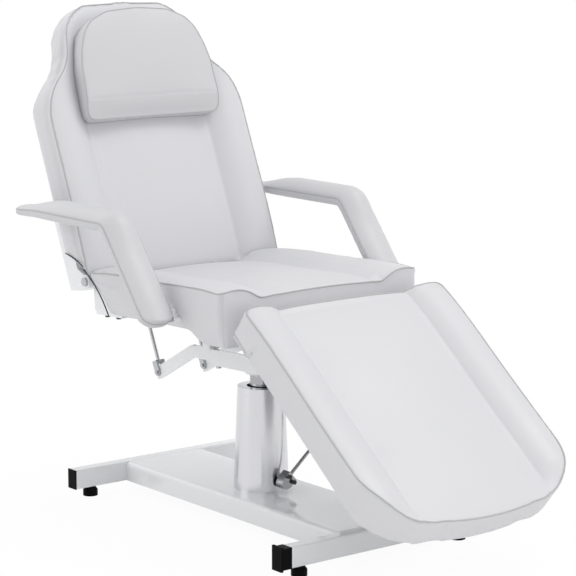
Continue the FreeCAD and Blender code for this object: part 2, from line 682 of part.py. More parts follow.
def pump():
    """Pump base with the pedal shaft's bore, pump cylinder, gland, wiper ring and bolts."""
    body = new_body("pump_base")
    radius = d.pump_base_radius
    height = d.pump_base_height
    revolve(body, [(0, 0), (radius, 0), (radius, height), (0, height)])
    sketch = new_sketch(body, "XZ_Plane")
    circle(sketch, 0, d.pedal_height, d.pedal_shaft_radius + d.running_fit)
    sketch.AttachmentOffset = shifted(0, 0, d.pump_base_radius + d.overrun)
    sketch.setExpression("AttachmentOffset.Base.z", (d.pump_base_radius + d.overrun).formula)
    pocket(body, sketch, d.pump_base_radius + d.overrun - d.pedal_shaft_seat + d.seat_gap, along=False)
    sketch = new_sketch(body, "XY_Plane")
    reach = d.pump_bolt_circle * DIAGONAL_SHARE
    for sign_x in (-1, 1):
        for sign_y in (-1, 1):
            circle(sketch, sign_x * reach, sign_y * reach, d.pump_bolt_diameter / 2 + d.running_fit)
    pocket(body, sketch, d.pump_bolt_reach + d.seat_gap)
    stand(body, COLUMN, 0, 0, BASE_TOP)
    body = new_body("pump_cylinder")
    revolve(body, [(d.pump_bore_radius, 0), (d.pump_radius, 0), (d.pump_radius, d.pump_height),
                   (d.pump_bore_radius, d.pump_height)])
    stand(body, COLUMN, 0, 0, BASE_TOP + d.pump_base_height)
    body = new_body("gland")
    bore = d.piston_radius + d.running_fit
    revolve(body, [(bore, 0), (d.gland_radius, 0), (d.gland_radius, d.gland_height), (bore, d.gland_height)])
    stand(body, COLUMN, 0, 0, PUMP_TOP)
    body = new_body("wiper_ring")
    lip = d.piston_radius + d.wiper_height / 2
    revolve(body, [(bore, 0), (d.wiper_radius, 0), (lip, d.wiper_height), (bore, d.wiper_height)])
    stand(body, COLUMN, 0, 0, PUMP_TOP + d.gland_height)
    bolt = hex_bolt("pump_bolt_pattern", d.pump_bolt_diameter, d.base_plate_wall + d.pump_bolt_reach)
    low = BASE_TOP - d.base_plate_wall
    places = [shifted(sx * reach, sy * reach, low) for sx in (-1, 1) for sy in (-1, 1)]
    group("pump_bolts", bolt, COLUMN, places)


def column_cover():
    """Tapered sleeve over the pump, turned in round the piston, with a hole for the pedal shaft."""
    body = new_body("column_cover")
    foot = d.cover_foot_radius
    top = d.cover_top_radius
    mouth = d.cover_mouth_radius
    under = d.cover_height - d.cover_wall
    revolve(body, [(foot - d.cover_wall, 0), (foot, 0), (top, d.cover_height), (mouth, d.cover_height),
                   (mouth, under), (top - d.cover_wall, under)])
    sketch = new_sketch(body, "XZ_Plane")
    circle(sketch, 0, d.pedal_height, d.pedal_shaft_radius + d.pedal_hole_gap)
    pocket(body, sketch, d.cover_foot_radius + d.overrun)
    stand(body, COLUMN, 0, 0, BASE_TOP)


def pedal():
    """Pedal shaft, split clamp with its screws, bent rod and rubber pad; the rod rises to the right."""
    frame = COLUMN.multiply(shifted(0, 0, PEDAL_AXIS))
    front = -d.pedal_shaft_reach
    shaft = new_body("pedal_shaft")
    sketch = new_sketch(shaft, "XZ_Plane")
    circle(sketch, 0, 0, d.pedal_shaft_radius)
    pad(shaft, sketch, d.pedal_shaft_reach - d.pedal_shaft_seat)
    stand(shaft, frame, 0, -d.pedal_shaft_seat, 0)
    lean = FreeCAD.Placement(V(0, front, 0), FreeCAD.Rotation(V(0, 1, 0), -d.pedal_rod_rise))
    swing = frame.multiply(lean)
    half = d.clamp_length / 2
    clamp = new_body("pedal_clamp")
    sketch = new_sketch(clamp, "XZ_Plane")
    circle(sketch, 0, 0, d.clamp_radius)
    pad(clamp, sketch, d.clamp_length)
    sketch = new_sketch(clamp, "XZ_Plane")
    rectangle(sketch, 0, -d.clamp_arm_depth / 2, d.clamp_arm, d.clamp_arm_depth / 2)
    pad(clamp, sketch, d.clamp_length)
    sketch = new_sketch(clamp, "XZ_Plane")
    circle(sketch, 0, 0, d.pedal_shaft_radius + d.running_fit)
    pocket(clamp, sketch)
    sketch = new_sketch(clamp, "YZ_Plane")
    circle(sketch, -half, 0, d.pedal_rod_radius + d.running_fit)
    sketch.AttachmentOffset = shifted(0, 0, d.clamp_radius)
    sketch.setExpression("AttachmentOffset.Base.z", d.clamp_radius.formula)
    pocket(clamp, sketch, d.clamp_arm)
    sketch = new_sketch(clamp, "XZ_Plane")
    for sign in (-1, 1):
        aside = d.clamp_arm_depth / 2 - d.clamp_screw_head / 2
        hole = d.clamp_screw_diameter / 2 + d.running_fit
        circle(sketch, d.clamp_arm - d.clamp_screw_head, sign * aside, hole)
    sketch.AttachmentOffset = shifted(0, 0, d.clamp_length)
    sketch.setExpression("AttachmentOffset.Base.z", d.clamp_length.formula)
    pocket(clamp, sketch, half + d.seat_gap, along=False)
    stand(clamp, swing, 0, d.clamp_length, 0)
    reach = d.clamp_radius + d.seat_gap
    start = V(reach, half, 0)
    bend = V(reach + d.pedal_rod_length, half, 0)
    turn = math.radians(d.pedal_rod_rise)
    arm = d.pedal_rod_bend
    middle = V(bend.x + arm * math.sin(turn / 2), half, -arm * (1 - math.cos(turn / 2)))
    after = V(bend.x + arm * math.sin(turn), half, -arm * (1 - math.cos(turn)))
    end = after + V(math.cos(turn), 0, -math.sin(turn)) * float(d.pedal_rod_end)
    path = Part.Wire([Part.LineSegment(start, bend).toShape(), Part.Arc(bend, middle, after).toShape(),
                      Part.LineSegment(after, end).toShape()])
    section = Part.Wire([Part.Circle(start, ACROSS, d.pedal_rod_radius).toShape()])
    solid("pedal_rod", path.makePipeShell([section], True, False), swing)
    grip = end - V(math.cos(turn), 0, -math.sin(turn)) * float(d.pedal_pad_length - d.overrun)
    pad_shape = Part.makeCylinder(d.pedal_pad_radius, d.pedal_pad_length, grip, end - grip)
    pad_shape = pad_shape.makeFillet(d.pedal_pad_round, [edge for edge in pad_shape.Edges if edge.isClosed()])
    depth = d.pedal_pad_length - d.overrun + d.seat_gap
    hole = Part.makeCylinder(d.pedal_rod_radius + d.running_fit, depth, grip, end - grip)
    solid("pedal_pad", pad_shape.cut(hole), swing)
    screws = []
    for sign in (-1, 1):
        face = V(d.clamp_arm - d.clamp_screw_head, 0, sign * (d.clamp_arm_depth / 2 - d.clamp_screw_head / 2))
        head = rod(d.clamp_screw_head / 2, face, face - V(0, d.clamp_screw_head_height, 0))
        screws.append(head.fuse(rod(d.clamp_screw_diameter / 2, face, face + V(0, half, 0))).removeSplitter())
    solid("pedal_screws", Part.makeCompound(screws), swing)


# Lift

HEAD_FACE = d.rail_top - d.rail_height - d.head_plate_wall
PISTON_TOP = HEAD_FACE - d.head_collar_height + d.head_socket_depth


def piston():
    """Polished piston, standing in the gland at the pump's lowest position."""
    body = new_body("piston")
    low = BASE_TOP + d.pump_base_height + d.piston_floor_gap
    height = PISTON_TOP - d.seat_gap - low
    revolve(body, [(0, 0), (d.piston_radius, 0), (d.piston_radius, height), (0, height)])
    stand(body, COLUMN, 0, 0, low)


def piston_head():
    """Collar that turns on the piston, welded under the tilted plate that carries the support rails."""
    half_x = d.rail_spacing / 2 + d.rail_width / 2
    half_y = d.head_plate_length / 2
    low = -d.rail_height - d.head_plate_wall
    plate = bar(-half_x, -half_y, low, half_x, half_y, -d.rail_height)
    plate.Placement = SEAT
    foot = V(0, 0, HEAD_FACE - d.head_collar_height)
    collar = Part.makeCylinder(d.head_collar_radius, d.head_collar_height + d.head_plate_wall / 2, foot)
    collar.Placement = COLUMN
    socket = Part.makeCylinder(d.piston_radius + d.running_fit, d.head_socket_depth, foot)
    socket.Placement = COLUMN
    shape = plate.fuse(collar).cut(socket).removeSplitter()
    for sign_x in (-1, 1):
        for sign_y in (-1, 1):
            spot = V(sign_x * d.rail_spacing / 2, sign_y * (half_y - d.head_bolt_inset), low - d.overrun)
            through = V(0, 0, d.head_plate_wall + 2 * d.overrun)
            hole = rod(d.head_bolt_diameter / 2 + d.running_fit, spot, spot + through)
            hole.Placement = SEAT
            shape = shape.cut(hole)
    solid("piston_head", shape)
    bolt = hex_bolt("head_bolt_pattern", d.head_bolt_diameter, d.head_plate_wall + d.rail_height / 2)
    spots = [(sx * d.rail_spacing / 2, sy * (half_y - d.head_bolt_inset)) for sx in (-1, 1) for sy in (-1, 1)]
    group("head_bolts", bolt, SEAT, [shifted(x, y, low) for x, y in spots])


# Seat frame

DROP = math.radians(d.rail_drop)
STRUT_PIN_TAIL = d.rail_tail - d.strut_pin_inset
STRUT_PIN_REACH = d.rail_bend_reach + STRUT_PIN_TAIL * math.cos(DROP) - d.rail_height / 2 * math.sin(DROP)
STRUT_PIN_RISE = -(STRUT_PIN_TAIL * math.sin(DROP)) - d.rail_height / 2 * math.cos(DROP)
STRUT_FOOT = SEAT.multVec(V(0, STRUT_PIN_REACH, STRUT_PIN_RISE))
SEAT_SIDE_INNER = d.cushion_width / 2 - d.side_rail_inset
LEG_BRACKET_INNER = SEAT_SIDE_INNER - d.leg_bracket_inset


def support_rails():
    """Bent rails under the seat: level over the piston head, dropping at the rear to the strut's pin."""
    knee = d.rail_height * math.tan(DROP / 2)
    half_y = d.head_plate_length / 2
    body = new_body("support_rail_pattern", kept=False)
    sketch = new_sketch(body, "YZ_Plane")
    end = d.rail_bend_reach + d.rail_tail * math.cos(DROP)
    drop = d.rail_tail * math.sin(DROP)
    polygon(sketch, [(-d.rail_front_reach, 0), (d.rail_bend_reach, 0), (end, -drop),
                     (end - d.rail_height * math.sin(DROP), -drop - d.rail_height * math.cos(DROP)),
                     (d.rail_bend_reach - knee, -d.rail_height), (-d.rail_front_reach, -d.rail_height)])
    pad(body, sketch, d.rail_width)
    for y, z in ((STRUT_PIN_REACH, STRUT_PIN_RISE), (-d.leg_strut_seat, -d.leg_strut_drop)):
        sketch = new_sketch(body, "YZ_Plane")
        circle(sketch, y, z, d.strut_pin_radius + d.running_fit)
        pocket(body, sketch)
    middle = d.rail_width / 2
    sketch = new_sketch(body, "XY_Plane")
    for y in (half_y - d.head_bolt_inset, d.head_bolt_inset - half_y):
        circle(sketch, middle, y, d.head_bolt_diameter / 2 + d.running_fit)
    sketch.AttachmentOffset = shifted(0, 0, -d.rail_height)
    sketch.setExpression("AttachmentOffset.Base.z", (-d.rail_height).formula)
    pocket(body, sketch, d.rail_height / 2 + d.seat_gap)
    both_sides("support_rails", body, SEAT, d.rail_spacing / 2 - d.rail_width / 2, d.rail_width)


def seat_frame():
    """Posts on the support rails, cross tubes, side rails and the front tube under the seat board."""
    low = d.seat_frame_base
    side = d.post_width
    post = box_tube("post_pattern", "Z", low, side, side, d.frame_tube_wall, SEAT, 0, 0, 0, kept=False)
    half = side / 2
    spots = [(sx * d.rail_spacing / 2, sy * d.post_spacing / 2) for sx in (-1, 1) for sy in (-1, 1)]
    group("seat_posts", post, SEAT, [shifted(x - half, y - half, 0) for x, y in spots])
    inner = SEAT_SIDE_INNER
    cross = box_tube("cross_tube_pattern", "X", inner * 2, d.cross_tube_side, d.seat_side_height,
                     d.frame_tube_wall, SEAT, 0, 0, 0, kept=False)
    places = [shifted(-inner, sign * d.post_spacing / 2 - d.cross_tube_side / 2, low) for sign in (-1, 1)]
    group("seat_cross_tubes", cross, SEAT, places)
    box_tube("seat_nose_tube", "X", inner * 2, d.front_tube_side, d.seat_side_height, d.frame_tube_wall, SEAT,
             -inner, -d.seat_side_front, low)
    rail = box_tube("side_rail_pattern", "Y", d.seat_side_front + d.upright_front, d.seat_side_width,
                    d.seat_side_height, d.frame_tube_wall, SEAT, 0, 0, 0, kept=False)
    sketch = new_sketch(rail, "YZ_Plane")
    for place in ARM_BOLTS:
        circle(sketch, place.y + d.seat_side_front, place.z - low, d.arm_bolt_diameter / 2 + d.running_fit)
    pocket(rail, sketch)
    frame = SEAT.multiply(shifted(0, -d.seat_side_front, low))
    both_sides("seat_side_rails", rail, frame, inner, d.seat_side_width)
    board = new_body("seat_board")
    sketch = new_sketch(board, "XY_Plane")
    side = inner + d.seat_side_width
    rectangle(sketch, -side, -d.seat_side_front, side, d.seat_recess_rear - d.recess_gap)
    pad(board, sketch, d.board_wall)
    stand(board, SEAT, 0, 0, low + d.seat_side_height)


SEAT_HINGE_ARC = V(0, d.hinge_arc_reach, -d.hinge_arc_drop)


def hinge_uprights():
    """Uprights at the seat's rear corners, with a foot under the side rail, that carry the back pivot bolts."""
    y = d.back_pivot_reach
    z = d.back_pivot_rise
    boss = d.pivot_boss
    front = d.upright_front
    low = d.upright_base
    rear = front + d.upright_depth
    foot = front - d.upright_foot
    ahead, above = UPRIGHT_BROW_SHARES
    outline = [(foot, low), (rear - d.upright_round, low), (rear, low + d.upright_round), (y + boss, z),
               (y, z + boss), (y - boss * ahead, z + boss * above), (front, low + d.upright_shoulder),
               (front, d.seat_frame_base), (foot, d.seat_frame_base)]
    side_plates("hinge_uprights", outline, d.seat_side_width, SEAT, SEAT_SIDE_INNER, [(y, z, boss)],
                [(y, z, d.back_pivot_radius + d.running_fit)])


BACK_ARM_INNER = SEAT_SIDE_INNER + d.seat_side_width + d.washer_wall + d.seat_gap


def back_pivots():
    """Pivot bolts through the uprights and the back arms, with a washer between them."""
    bolts = []
    washers = []
    for _, sign in SIDES:
        inner = sign * (SEAT_SIDE_INNER - d.bolt_head_wall)
        outer = sign * (BACK_ARM_INNER + d.back_arm_width)
        shank = rod(d.back_pivot_radius, V(inner, 0, 0), V(outer, 0, 0))
        nut = outer + sign * d.seat_gap
        faces = ((inner, sign * SEAT_SIDE_INNER), (nut, nut + sign * d.bolt_head_wall))
        heads = [rod(d.back_pivot_radius * ROUND_HEAD_SHARE, V(x0, 0, 0), V(x1, 0, 0)) for x0, x1 in faces]
        neck = rod(d.back_pivot_radius, V(outer, 0, 0), V(nut, 0, 0))
        bolts.append(shank.fuse(heads + [neck]).removeSplitter())
        face = sign * (SEAT_SIDE_INNER + d.seat_side_width)
        end = face + sign * d.washer_wall
        over = sign * d.overrun
        ring = rod(d.washer_radius, V(face, 0, 0), V(end, 0, 0))
        bore = rod(d.back_pivot_radius + d.running_fit, V(face - over, 0, 0), V(end + over, 0, 0))
        washers.append(ring.cut(bore))
    frame = SEAT.multiply(shifted(0, d.back_pivot_reach, d.back_pivot_rise))
    solid("back_pivot_bolts", Part.makeCompound(bolts), frame)
    solid("back_pivot_washers", Part.makeCompound(washers), frame)


# Cushions

def crowned_section(half, floor, edge, crown, crease, dip, rise, station):
    """A cross-section with drawn-in sides, two raised bolsters and a lower middle panel, placed by station."""
    tuck = d.side_tuck
    middle = (floor + edge) / 2
    side_x = half - tuck / 2 + d.side_swell
    panel = edge - dip
    bolster = (half + crease) / 2
    start = station(-half + tuck, floor)
    return wire(start, [station(half - tuck, floor)], [station(side_x, middle), station(half, edge)],
                [station(bolster, edge + crown), station(crease, panel)],
                [station(0, panel + rise), station(-crease, panel)],
                [station(-bolster, edge + crown), station(-half, edge)], [station(-side_x, middle), start])


def crowned_bar(places, half, floor, top, crown, bolster, dip, station_at):
    """A long upholstered bar: cross-sections along its length, falling a little towards both ends."""
    sections = []
    last = len(places) - 1
    for index, place in enumerate(places):
        fall = d.end_drop if index in (0, last) else 0
        sections.append(crowned_section(half, floor, top - fall, crown, half - bolster, dip, d.panel_crown,
                                        station_at(place)))
    return Part.makeLoft(sections, True, False)


def even_places(start, end):
    """Places of the cross-sections along a cushion: its ends, near its ends and its middle."""
    return [start + (end - start) * share for share in SECTION_SHARES]


def prism(outline, depth):
    """An outline thickened along a vector."""
    return Part.Face(outline).extrude(depth)


def corner_middle(centre, radius, degrees):
    """A point on a corner's arc in the plan."""
    return centre + V(math.cos(math.radians(degrees)), math.sin(math.radians(degrees)), 0) * float(radius)


def rounded_plan(half, rear, front, rear_corner, front_corner, bow, z):
    """Plan outline from its rear edge to its front edge, which may bow out, with four corner radii."""
    rear_mid = V(half - rear_corner, rear - rear_corner, z)
    front_mid = V(half - front_corner, front + bow + front_corner, z)

    def mirrored(point):
        return V(-point.x, point.y, point.z)

    corner_r = corner_middle(rear_mid, rear_corner, 45)
    corner_f = corner_middle(front_mid, front_corner, -45)
    p_rear = V(half - rear_corner, rear, z)
    p_side_r = V(half, rear - rear_corner, z)
    p_side_f = V(half, front + bow + front_corner, z)
    p_front = V(half - front_corner, front + bow, z)
    foot = [V(0, front, z), mirrored(p_front)] if bow else [mirrored(p_front)]
    return wire(mirrored(p_rear), [p_rear], [corner_r, p_side_r], [p_side_f], [corner_f, p_front], foot,
                [mirrored(corner_f), mirrored(p_side_f)], [mirrored(p_side_r)],
                [mirrored(corner_r), mirrored(p_rear)])


def seat_cushion():
    """Seat cushion with its front apron, hinge cut-outs, frame recess and holes for the arm spacers."""
    half = d.cushion_width / 2
    floor = d.seat_top - d.seat_depth - d.apron_drop
    places = even_places(-d.seat_front, d.seat_rear)
    shape = crowned_bar(places, half, floor, d.seat_top, d.seat_crown, d.seat_bolster, d.seat_dip,
                        lambda y: lambda x, z: V(x, y, z))
    low = floor - d.overrun
    plan = rounded_plan(half + d.side_swell, d.seat_rear, -d.seat_front, d.seat_corner, d.seat_corner, 0, low)
    shape = shape.common(prism(plan, V(0, 0, d.seat_top + d.seat_crown)))
    side = d.seat_top - d.seat_depth
    far = half + d.side_swell + d.overrun
    arc = SEAT_HINGE_ARC
    start = math.asin((side - arc.z) / d.hinge_arc_radius)
    end = math.acos((arc.y - d.seat_rear - d.overrun) / d.hinge_arc_radius)
    sweep = [V(-far, arc.y - d.hinge_arc_radius * math.cos(turn), arc.z + d.hinge_arc_radius * math.sin(turn))
             for turn in (start, (start + end) / 2, end)]
    corner = V(-far, -d.apron_reach, low)
    step = V(-far, d.apron_step - d.apron_reach, side)
    tool = wire(corner, [V(-far, -d.apron_reach, floor)], [step], [sweep[0]], [sweep[1], sweep[2]],
                [V(-far, d.seat_rear + d.overrun, low)], [corner])
    shape = shape.cut(prism(tool, V(far * 2, 0, 0)))
    ceiling = d.seat_frame_base + d.seat_side_height + d.board_wall
    reach = SEAT_SIDE_INNER + d.seat_side_width + d.recess_gap
    front = d.skirt_wall - d.seat_front
    shape = shape.cut(bar(-reach, front, low, reach, d.seat_recess_rear, ceiling))
    for _, sign in SIDES:
        xs = sorted((sign * (SEAT_SIDE_INNER - d.recess_gap), sign * reach))
        above = d.seat_frame_base + d.recess_gap
        shape = shape.cut(bar(xs[0], front, low, xs[1], d.seat_rear, above + d.seat_side_height))
        ears = LEG_ARM_INNER + d.leg_arm_width + d.bolt_head_wall + d.recess_gap
        xs = sorted((sign * (LEG_BRACKET_INNER - d.bolt_head_wall - d.recess_gap), sign * ears))
        shape = shape.cut(bar(xs[0], -d.seat_front - d.overrun, low, xs[1], front + d.overrun, above))
        for place in ARM_BOLTS:
            start = V(sign * (reach - d.overrun), place.y, place.z)
            shape = shape.cut(rod(d.arm_spacer_radius + d.seat_gap, start, start + V(sign * half / 2, 0, 0)))
    solid("seat_cushion", shape, SEAT)


BACK_FRONT = -d.back_pivot_depth
BACK_REAR = d.back_depth - d.back_pivot_depth
BACK_FOOT = d.back_pivot_drop


def back_outline(depth):
    """Front view of the backrest: straight sides, S-curved shoulders and a bowed top."""
    half = d.cushion_width / 2

    def at(share, sign=1):
        return V(sign * half * share[0], depth, BACK_FOOT + d.back_height * share[1])

    shares = BACK_SHOULDER_SHARES
    right = [at(share) for share in shares]
    left = [at(share, -1) for share in shares]
    foot_right = V(half, depth, BACK_FOOT)
    foot_left = V(-half, depth, BACK_FOOT)
    top = V(0, depth, BACK_FOOT + d.back_height)
    return wire(foot_left, [foot_right], [right[0]], right[1:3], right[3:5], right[5:7], [top, left[6]],
                [left[5], left[4]], [left[3], left[2]], [left[1], left[0]], [foot_left])


def back_cushion():
    """Back cushion with shoulders, a hinge cut-out at each lower corner and a recess for its frame."""
    half = d.cushion_width / 2
    places = even_places(BACK_FOOT, BACK_FOOT + d.back_height)
    shape = crowned_bar(places, half, -BACK_REAR, -BACK_FRONT, d.back_crown, d.back_bolster, d.back_dip,
                        lambda z: lambda x, y: V(x, -y, z))
    proud = d.back_crown + d.overrun
    shape = shape.common(prism(back_outline(BACK_FRONT - proud), V(0, d.back_depth + proud * 2, 0)))
    arc = BACK.inverse().multVec(SEAT.multVec(SEAT_HINGE_ARC))
    rear = BACK_REAR + d.overrun
    reach = BACK_ARM_INNER - d.recess_gap
    margin = d.back_recess_margin
    top = d.back_upper_tube + d.back_tube_width + d.recess_gap
    shape = shape.cut(bar(-reach, d.back_recess_front, BACK_FOOT + margin, reach, rear, top))
    for _, sign in SIDES:
        start = V(sign * (SEAT_SIDE_INNER - d.hinge_cut_gap), arc.y, arc.z)
        shape = shape.cut(rod(d.hinge_arc_radius, start, start + V(sign * half, 0, 0)))
        xs = sorted((sign * (reach - d.overrun), sign * (BACK_ARM_INNER + d.back_arm_width + d.seat_gap)))
        boss = -d.pivot_boss - d.recess_gap
        shape = shape.cut(bar(xs[0], boss, -d.back_height, xs[1], rear, d.back_arm_web + d.recess_gap))
        front = d.back_arm_front - d.recess_gap
        shape = shape.cut(bar(xs[0], front, -d.back_height, xs[1], rear, STRUT_TUBE_TOP + d.recess_gap))
    solid("back_cushion", shape, BACK)


STRUT_HEAD_IN_BACK = V(0, d.strut_head_depth, d.strut_head_rise)
STRUT_HEAD = BACK.multVec(STRUT_HEAD_IN_BACK)
STRUT_LENGTH = (STRUT_HEAD - STRUT_FOOT).Length
STRUT_RISE = math.degrees(math.atan2(STRUT_HEAD.z - STRUT_FOOT.z, STRUT_HEAD.y - STRUT_FOOT.y))
STRUT_TUBE_FOOT = d.strut_head_rise - d.back_tube_width / 2
STRUT_TUBE_TOP = d.strut_head_rise + d.back_tube_width / 2


def back_frame():
    """Hinge arms, cross tubes and uprights behind the back board."""
    boss = d.pivot_boss
    front = d.back_arm_front
    rear = front + d.back_arm_depth
    outline = [(rear, STRUT_TUBE_TOP), (rear, -d.back_arm_foot), (front, -boss), (0, -boss), (0, boss),
               (front, d.back_arm_web), (front, STRUT_TUBE_TOP)]
    side_plates("back_arms", outline, d.back_arm_width, BACK, BACK_ARM_INNER, [(0, 0, boss)],
                [(0, 0, d.back_pivot_radius + d.running_fit)])
    board_rear = d.back_recess_front + d.board_wall
    reach = BACK_ARM_INNER
    wall = d.frame_tube_wall
    deep = d.back_tube_depth
    high = d.back_tube_width
    box_tube("back_lower_tube", "X", reach * 2, deep, high, wall, BACK, -reach, board_rear, STRUT_TUBE_FOOT)
    spread = d.back_upright_spacing + high
    upper = d.back_upper_tube
    box_tube("back_upper_tube", "X", spread, deep, high, wall, BACK, -spread / 2, board_rear, upper)
    upright = box_tube("back_upright_pattern", "Z", upper - STRUT_TUBE_TOP, high, deep, wall, BACK, 0, 0, 0,
                       kept=False)
    both_sides("back_uprights", upright, BACK.multiply(shifted(0, board_rear, STRUT_TUBE_TOP)),
               d.back_upright_spacing / 2 - d.back_tube_width / 2, d.back_tube_width)
    board = new_body("back_board")
    sketch = new_sketch(board, "XZ_Plane")
    side = reach - d.recess_gap * 2
    rectangle(sketch, -side, BACK_FOOT + d.back_recess_margin + d.recess_gap, side, upper + high)
    pad(board, sketch, d.board_wall, backwards=True)
    stand(board, BACK, 0, d.back_recess_front, 0)


# Struts: at the limits of the backrest and the leg rest the struts meet their slots' upper ends

def reach_of(frame_point, pivot, foot, degrees):
    """Length and rise of a strut after its head has turned about a pivot."""
    turn = math.radians(degrees)
    rel = frame_point - pivot
    y = rel.y * math.cos(turn) + rel.z * math.sin(turn)
    z = rel.z * math.cos(turn) - rel.y * math.sin(turn)
    gap = V(0, pivot.y + y - foot.y, pivot.z + z - foot.z)
    return gap.Length, math.degrees(math.atan2(gap.z, gap.y))


def slot_of(head, pivot, foot, travel, rest_length, rest_rise):
    """How far the head of a strut that follows evenly runs away from its pin's true place."""
    end_length, end_rise = reach_of(head, pivot, foot, travel)
    if rest_rise - end_rise > HALF_TURN:
        end_rise += FULL_TURN
    offsets = []
    for step in range(TRAVEL_STEPS + 1):
        share = step / TRAVEL_STEPS
        length = rest_length + (end_length - rest_length) * share
        rise = math.radians(rest_rise + (end_rise - rest_rise) * share)
        at = V(0, foot.y + length * math.cos(rise), foot.z + length * math.sin(rise)) - pivot
        back = FreeCAD.Rotation(ACROSS, travel * share)
        offsets.append(back.multVec(at) + pivot - head)
    return offsets, end_length, end_rise


def strut_bracket(label, frame, xs, head, offsets, tube_rear=None, tube_low=None):
    """Pairs of cheeks behind or below a tube, each with a window that the strut's pin wanders in."""
    ys = [head.y + o.y for o in offsets]
    zs = [head.z + o.z for o in offsets]
    gap = d.strut_pin_radius + d.strut_slot_gap
    window = (min(ys) - gap, max(ys) + gap, min(zs) - gap, max(zs) + gap)
    margin = d.strut_cheek_margin
    half = d.strut_body_radius + d.strut_cheek_gap
    cheeks = []
    for x in xs:
        for inner in (x + half, x - half - d.strut_cheek_wall):
            outer = inner + d.strut_cheek_wall
            front = window[0] - margin if tube_rear is None else tube_rear
            top = window[3] + margin if tube_low is None else tube_low
            cheek = bar(inner, front, window[2] - margin, outer, window[1] + margin, top)
            hole = bar(inner - d.overrun, window[0], window[2], outer + d.overrun, window[1], window[3])
            cheeks.append(cheek.cut(hole))
    solid(label, Part.makeCompound(cheeks), frame)


def strut_rod_shape(length):
    """A strut's rod along +Z from the eye at its foot."""
    half = d.strut_eye_width / 2
    eye = rod(d.strut_eye_radius, V(-half, 0, 0), V(half, 0, 0))
    bore = rod(d.strut_pin_radius + d.running_fit, V(-half - d.overrun, 0, 0), V(half + d.overrun, 0, 0))
    return eye.fuse(rod(d.strut_rod_radius, V(0, 0, 0), V(0, 0, length))).cut(bore).removeSplitter()


def forked_rod_shape(length):
    """A back strut's rod along +Z, with a fork at its foot that straddles a support rail."""
    inner = d.rail_width / 2 + d.strut_cheek_gap
    outer = inner + d.fork_wall
    deep = d.strut_eye_radius
    top = d.fork_slot + d.fork_bridge
    block = bar(-outer, -deep, 0, outer, deep, top).fuse(rod(deep, V(-outer, 0, 0), V(outer, 0, 0)))
    slot = bar(-inner, -deep - d.overrun, -deep - d.overrun, inner, deep + d.overrun, d.fork_slot)
    bore = rod(d.strut_pin_radius + d.running_fit, V(-outer - d.overrun, 0, 0), V(outer + d.overrun, 0, 0))
    shank = rod(d.strut_rod_radius, V(0, 0, d.fork_slot), V(0, 0, length))
    return block.cut(slot).cut(bore).fuse(shank).removeSplitter()


def strut_body_shape(length):
    """A strut's cylinder along -Z from the eye at its head, bored for the rod."""
    half = d.strut_eye_width / 2
    eye = rod(d.strut_eye_radius, V(-half, 0, 0), V(half, 0, 0))
    wall = d.strut_body_wall
    roof = V(0, 0, -d.strut_head - wall)
    barrel = rod(d.strut_body_radius, V(0, 0, -d.strut_head), V(0, 0, -length))
    neck = rod(d.strut_rod_radius, V(0, 0, 0), roof)
    chamber = rod(d.strut_body_radius - wall, roof, V(0, 0, -length + wall * 2))
    throat = rod(d.strut_rod_radius + d.running_fit, roof - V(0, 0, wall), V(0, 0, -length - d.overrun))
    bore = rod(d.strut_pin_radius + d.running_fit, V(-half - d.overrun, 0, 0), V(half + d.overrun, 0, 0))
    return barrel.cut(chamber).cut(throat).fuse(neck).fuse(eye).cut(bore).removeSplitter()


def pair(shape):
    """Two copies of a shape over the support rails."""
    copies = []
    for _, sign in SIDES:
        copy = shape.copy()
        copy.translate(V(sign * d.rail_spacing / 2, 0, 0))
        copies.append(copy)
    return Part.makeCompound(copies)


def back_struts():
    """Two lockable gas struts between the support rails and the back frame, with their pins."""
    lower = turned(0, STRUT_FOOT.y, STRUT_FOOT.z, STRUT_RISE - QUARTER_TURN)
    upper = turned(0, STRUT_HEAD.y, STRUT_HEAD.z, STRUT_RISE - QUARTER_TURN)
    rod_length = STRUT_LENGTH - d.back_strut_body + d.back_strut_overlap
    solid("back_strut_rods", pair(forked_rod_shape(rod_length)), lower)
    solid("back_strut_cylinders", pair(strut_body_shape(d.back_strut_body)), upper)
    half = d.rail_width / 2 + d.strut_cheek_gap + d.fork_wall + d.strut_cheek_wall
    pin = rod(d.strut_pin_radius, V(-half, 0, 0), V(half, 0, 0))
    solid("strut_lower_pins", pair(pin), lower)
    half = d.strut_body_radius + d.strut_cheek_gap + d.strut_cheek_wall * 2
    solid("strut_upper_pins", pair(rod(d.strut_pin_radius, V(-half, 0, 0), V(half, 0, 0))), upper)
    offsets, length, rise = slot_of(STRUT_HEAD, BACK_PIVOT, STRUT_FOOT, d.back_angle, STRUT_LENGTH,
                                    STRUT_RISE)
    inverse = BACK.Rotation.inverted()
    offsets = [inverse.multVec(offset) for offset in offsets]
    xs = [sign * d.rail_spacing / 2 for _, sign in SIDES]
    tube_rear = d.back_recess_front + d.board_wall + d.back_tube_depth
    strut_bracket("strut_bracket", BACK, xs, STRUT_HEAD_IN_BACK, offsets, tube_rear=tube_rear)
    return length, rise


LEG_TOP = d.leg_pivot_gap + d.leg_depth
LEG_FLOOR = d.leg_pivot_gap
LEG_CEILING = LEG_FLOOR + d.leg_arm_height + d.recess_gap * 2 + d.board_wall
LEG_ARM_LOW = LEG_FLOOR + d.recess_gap * 2


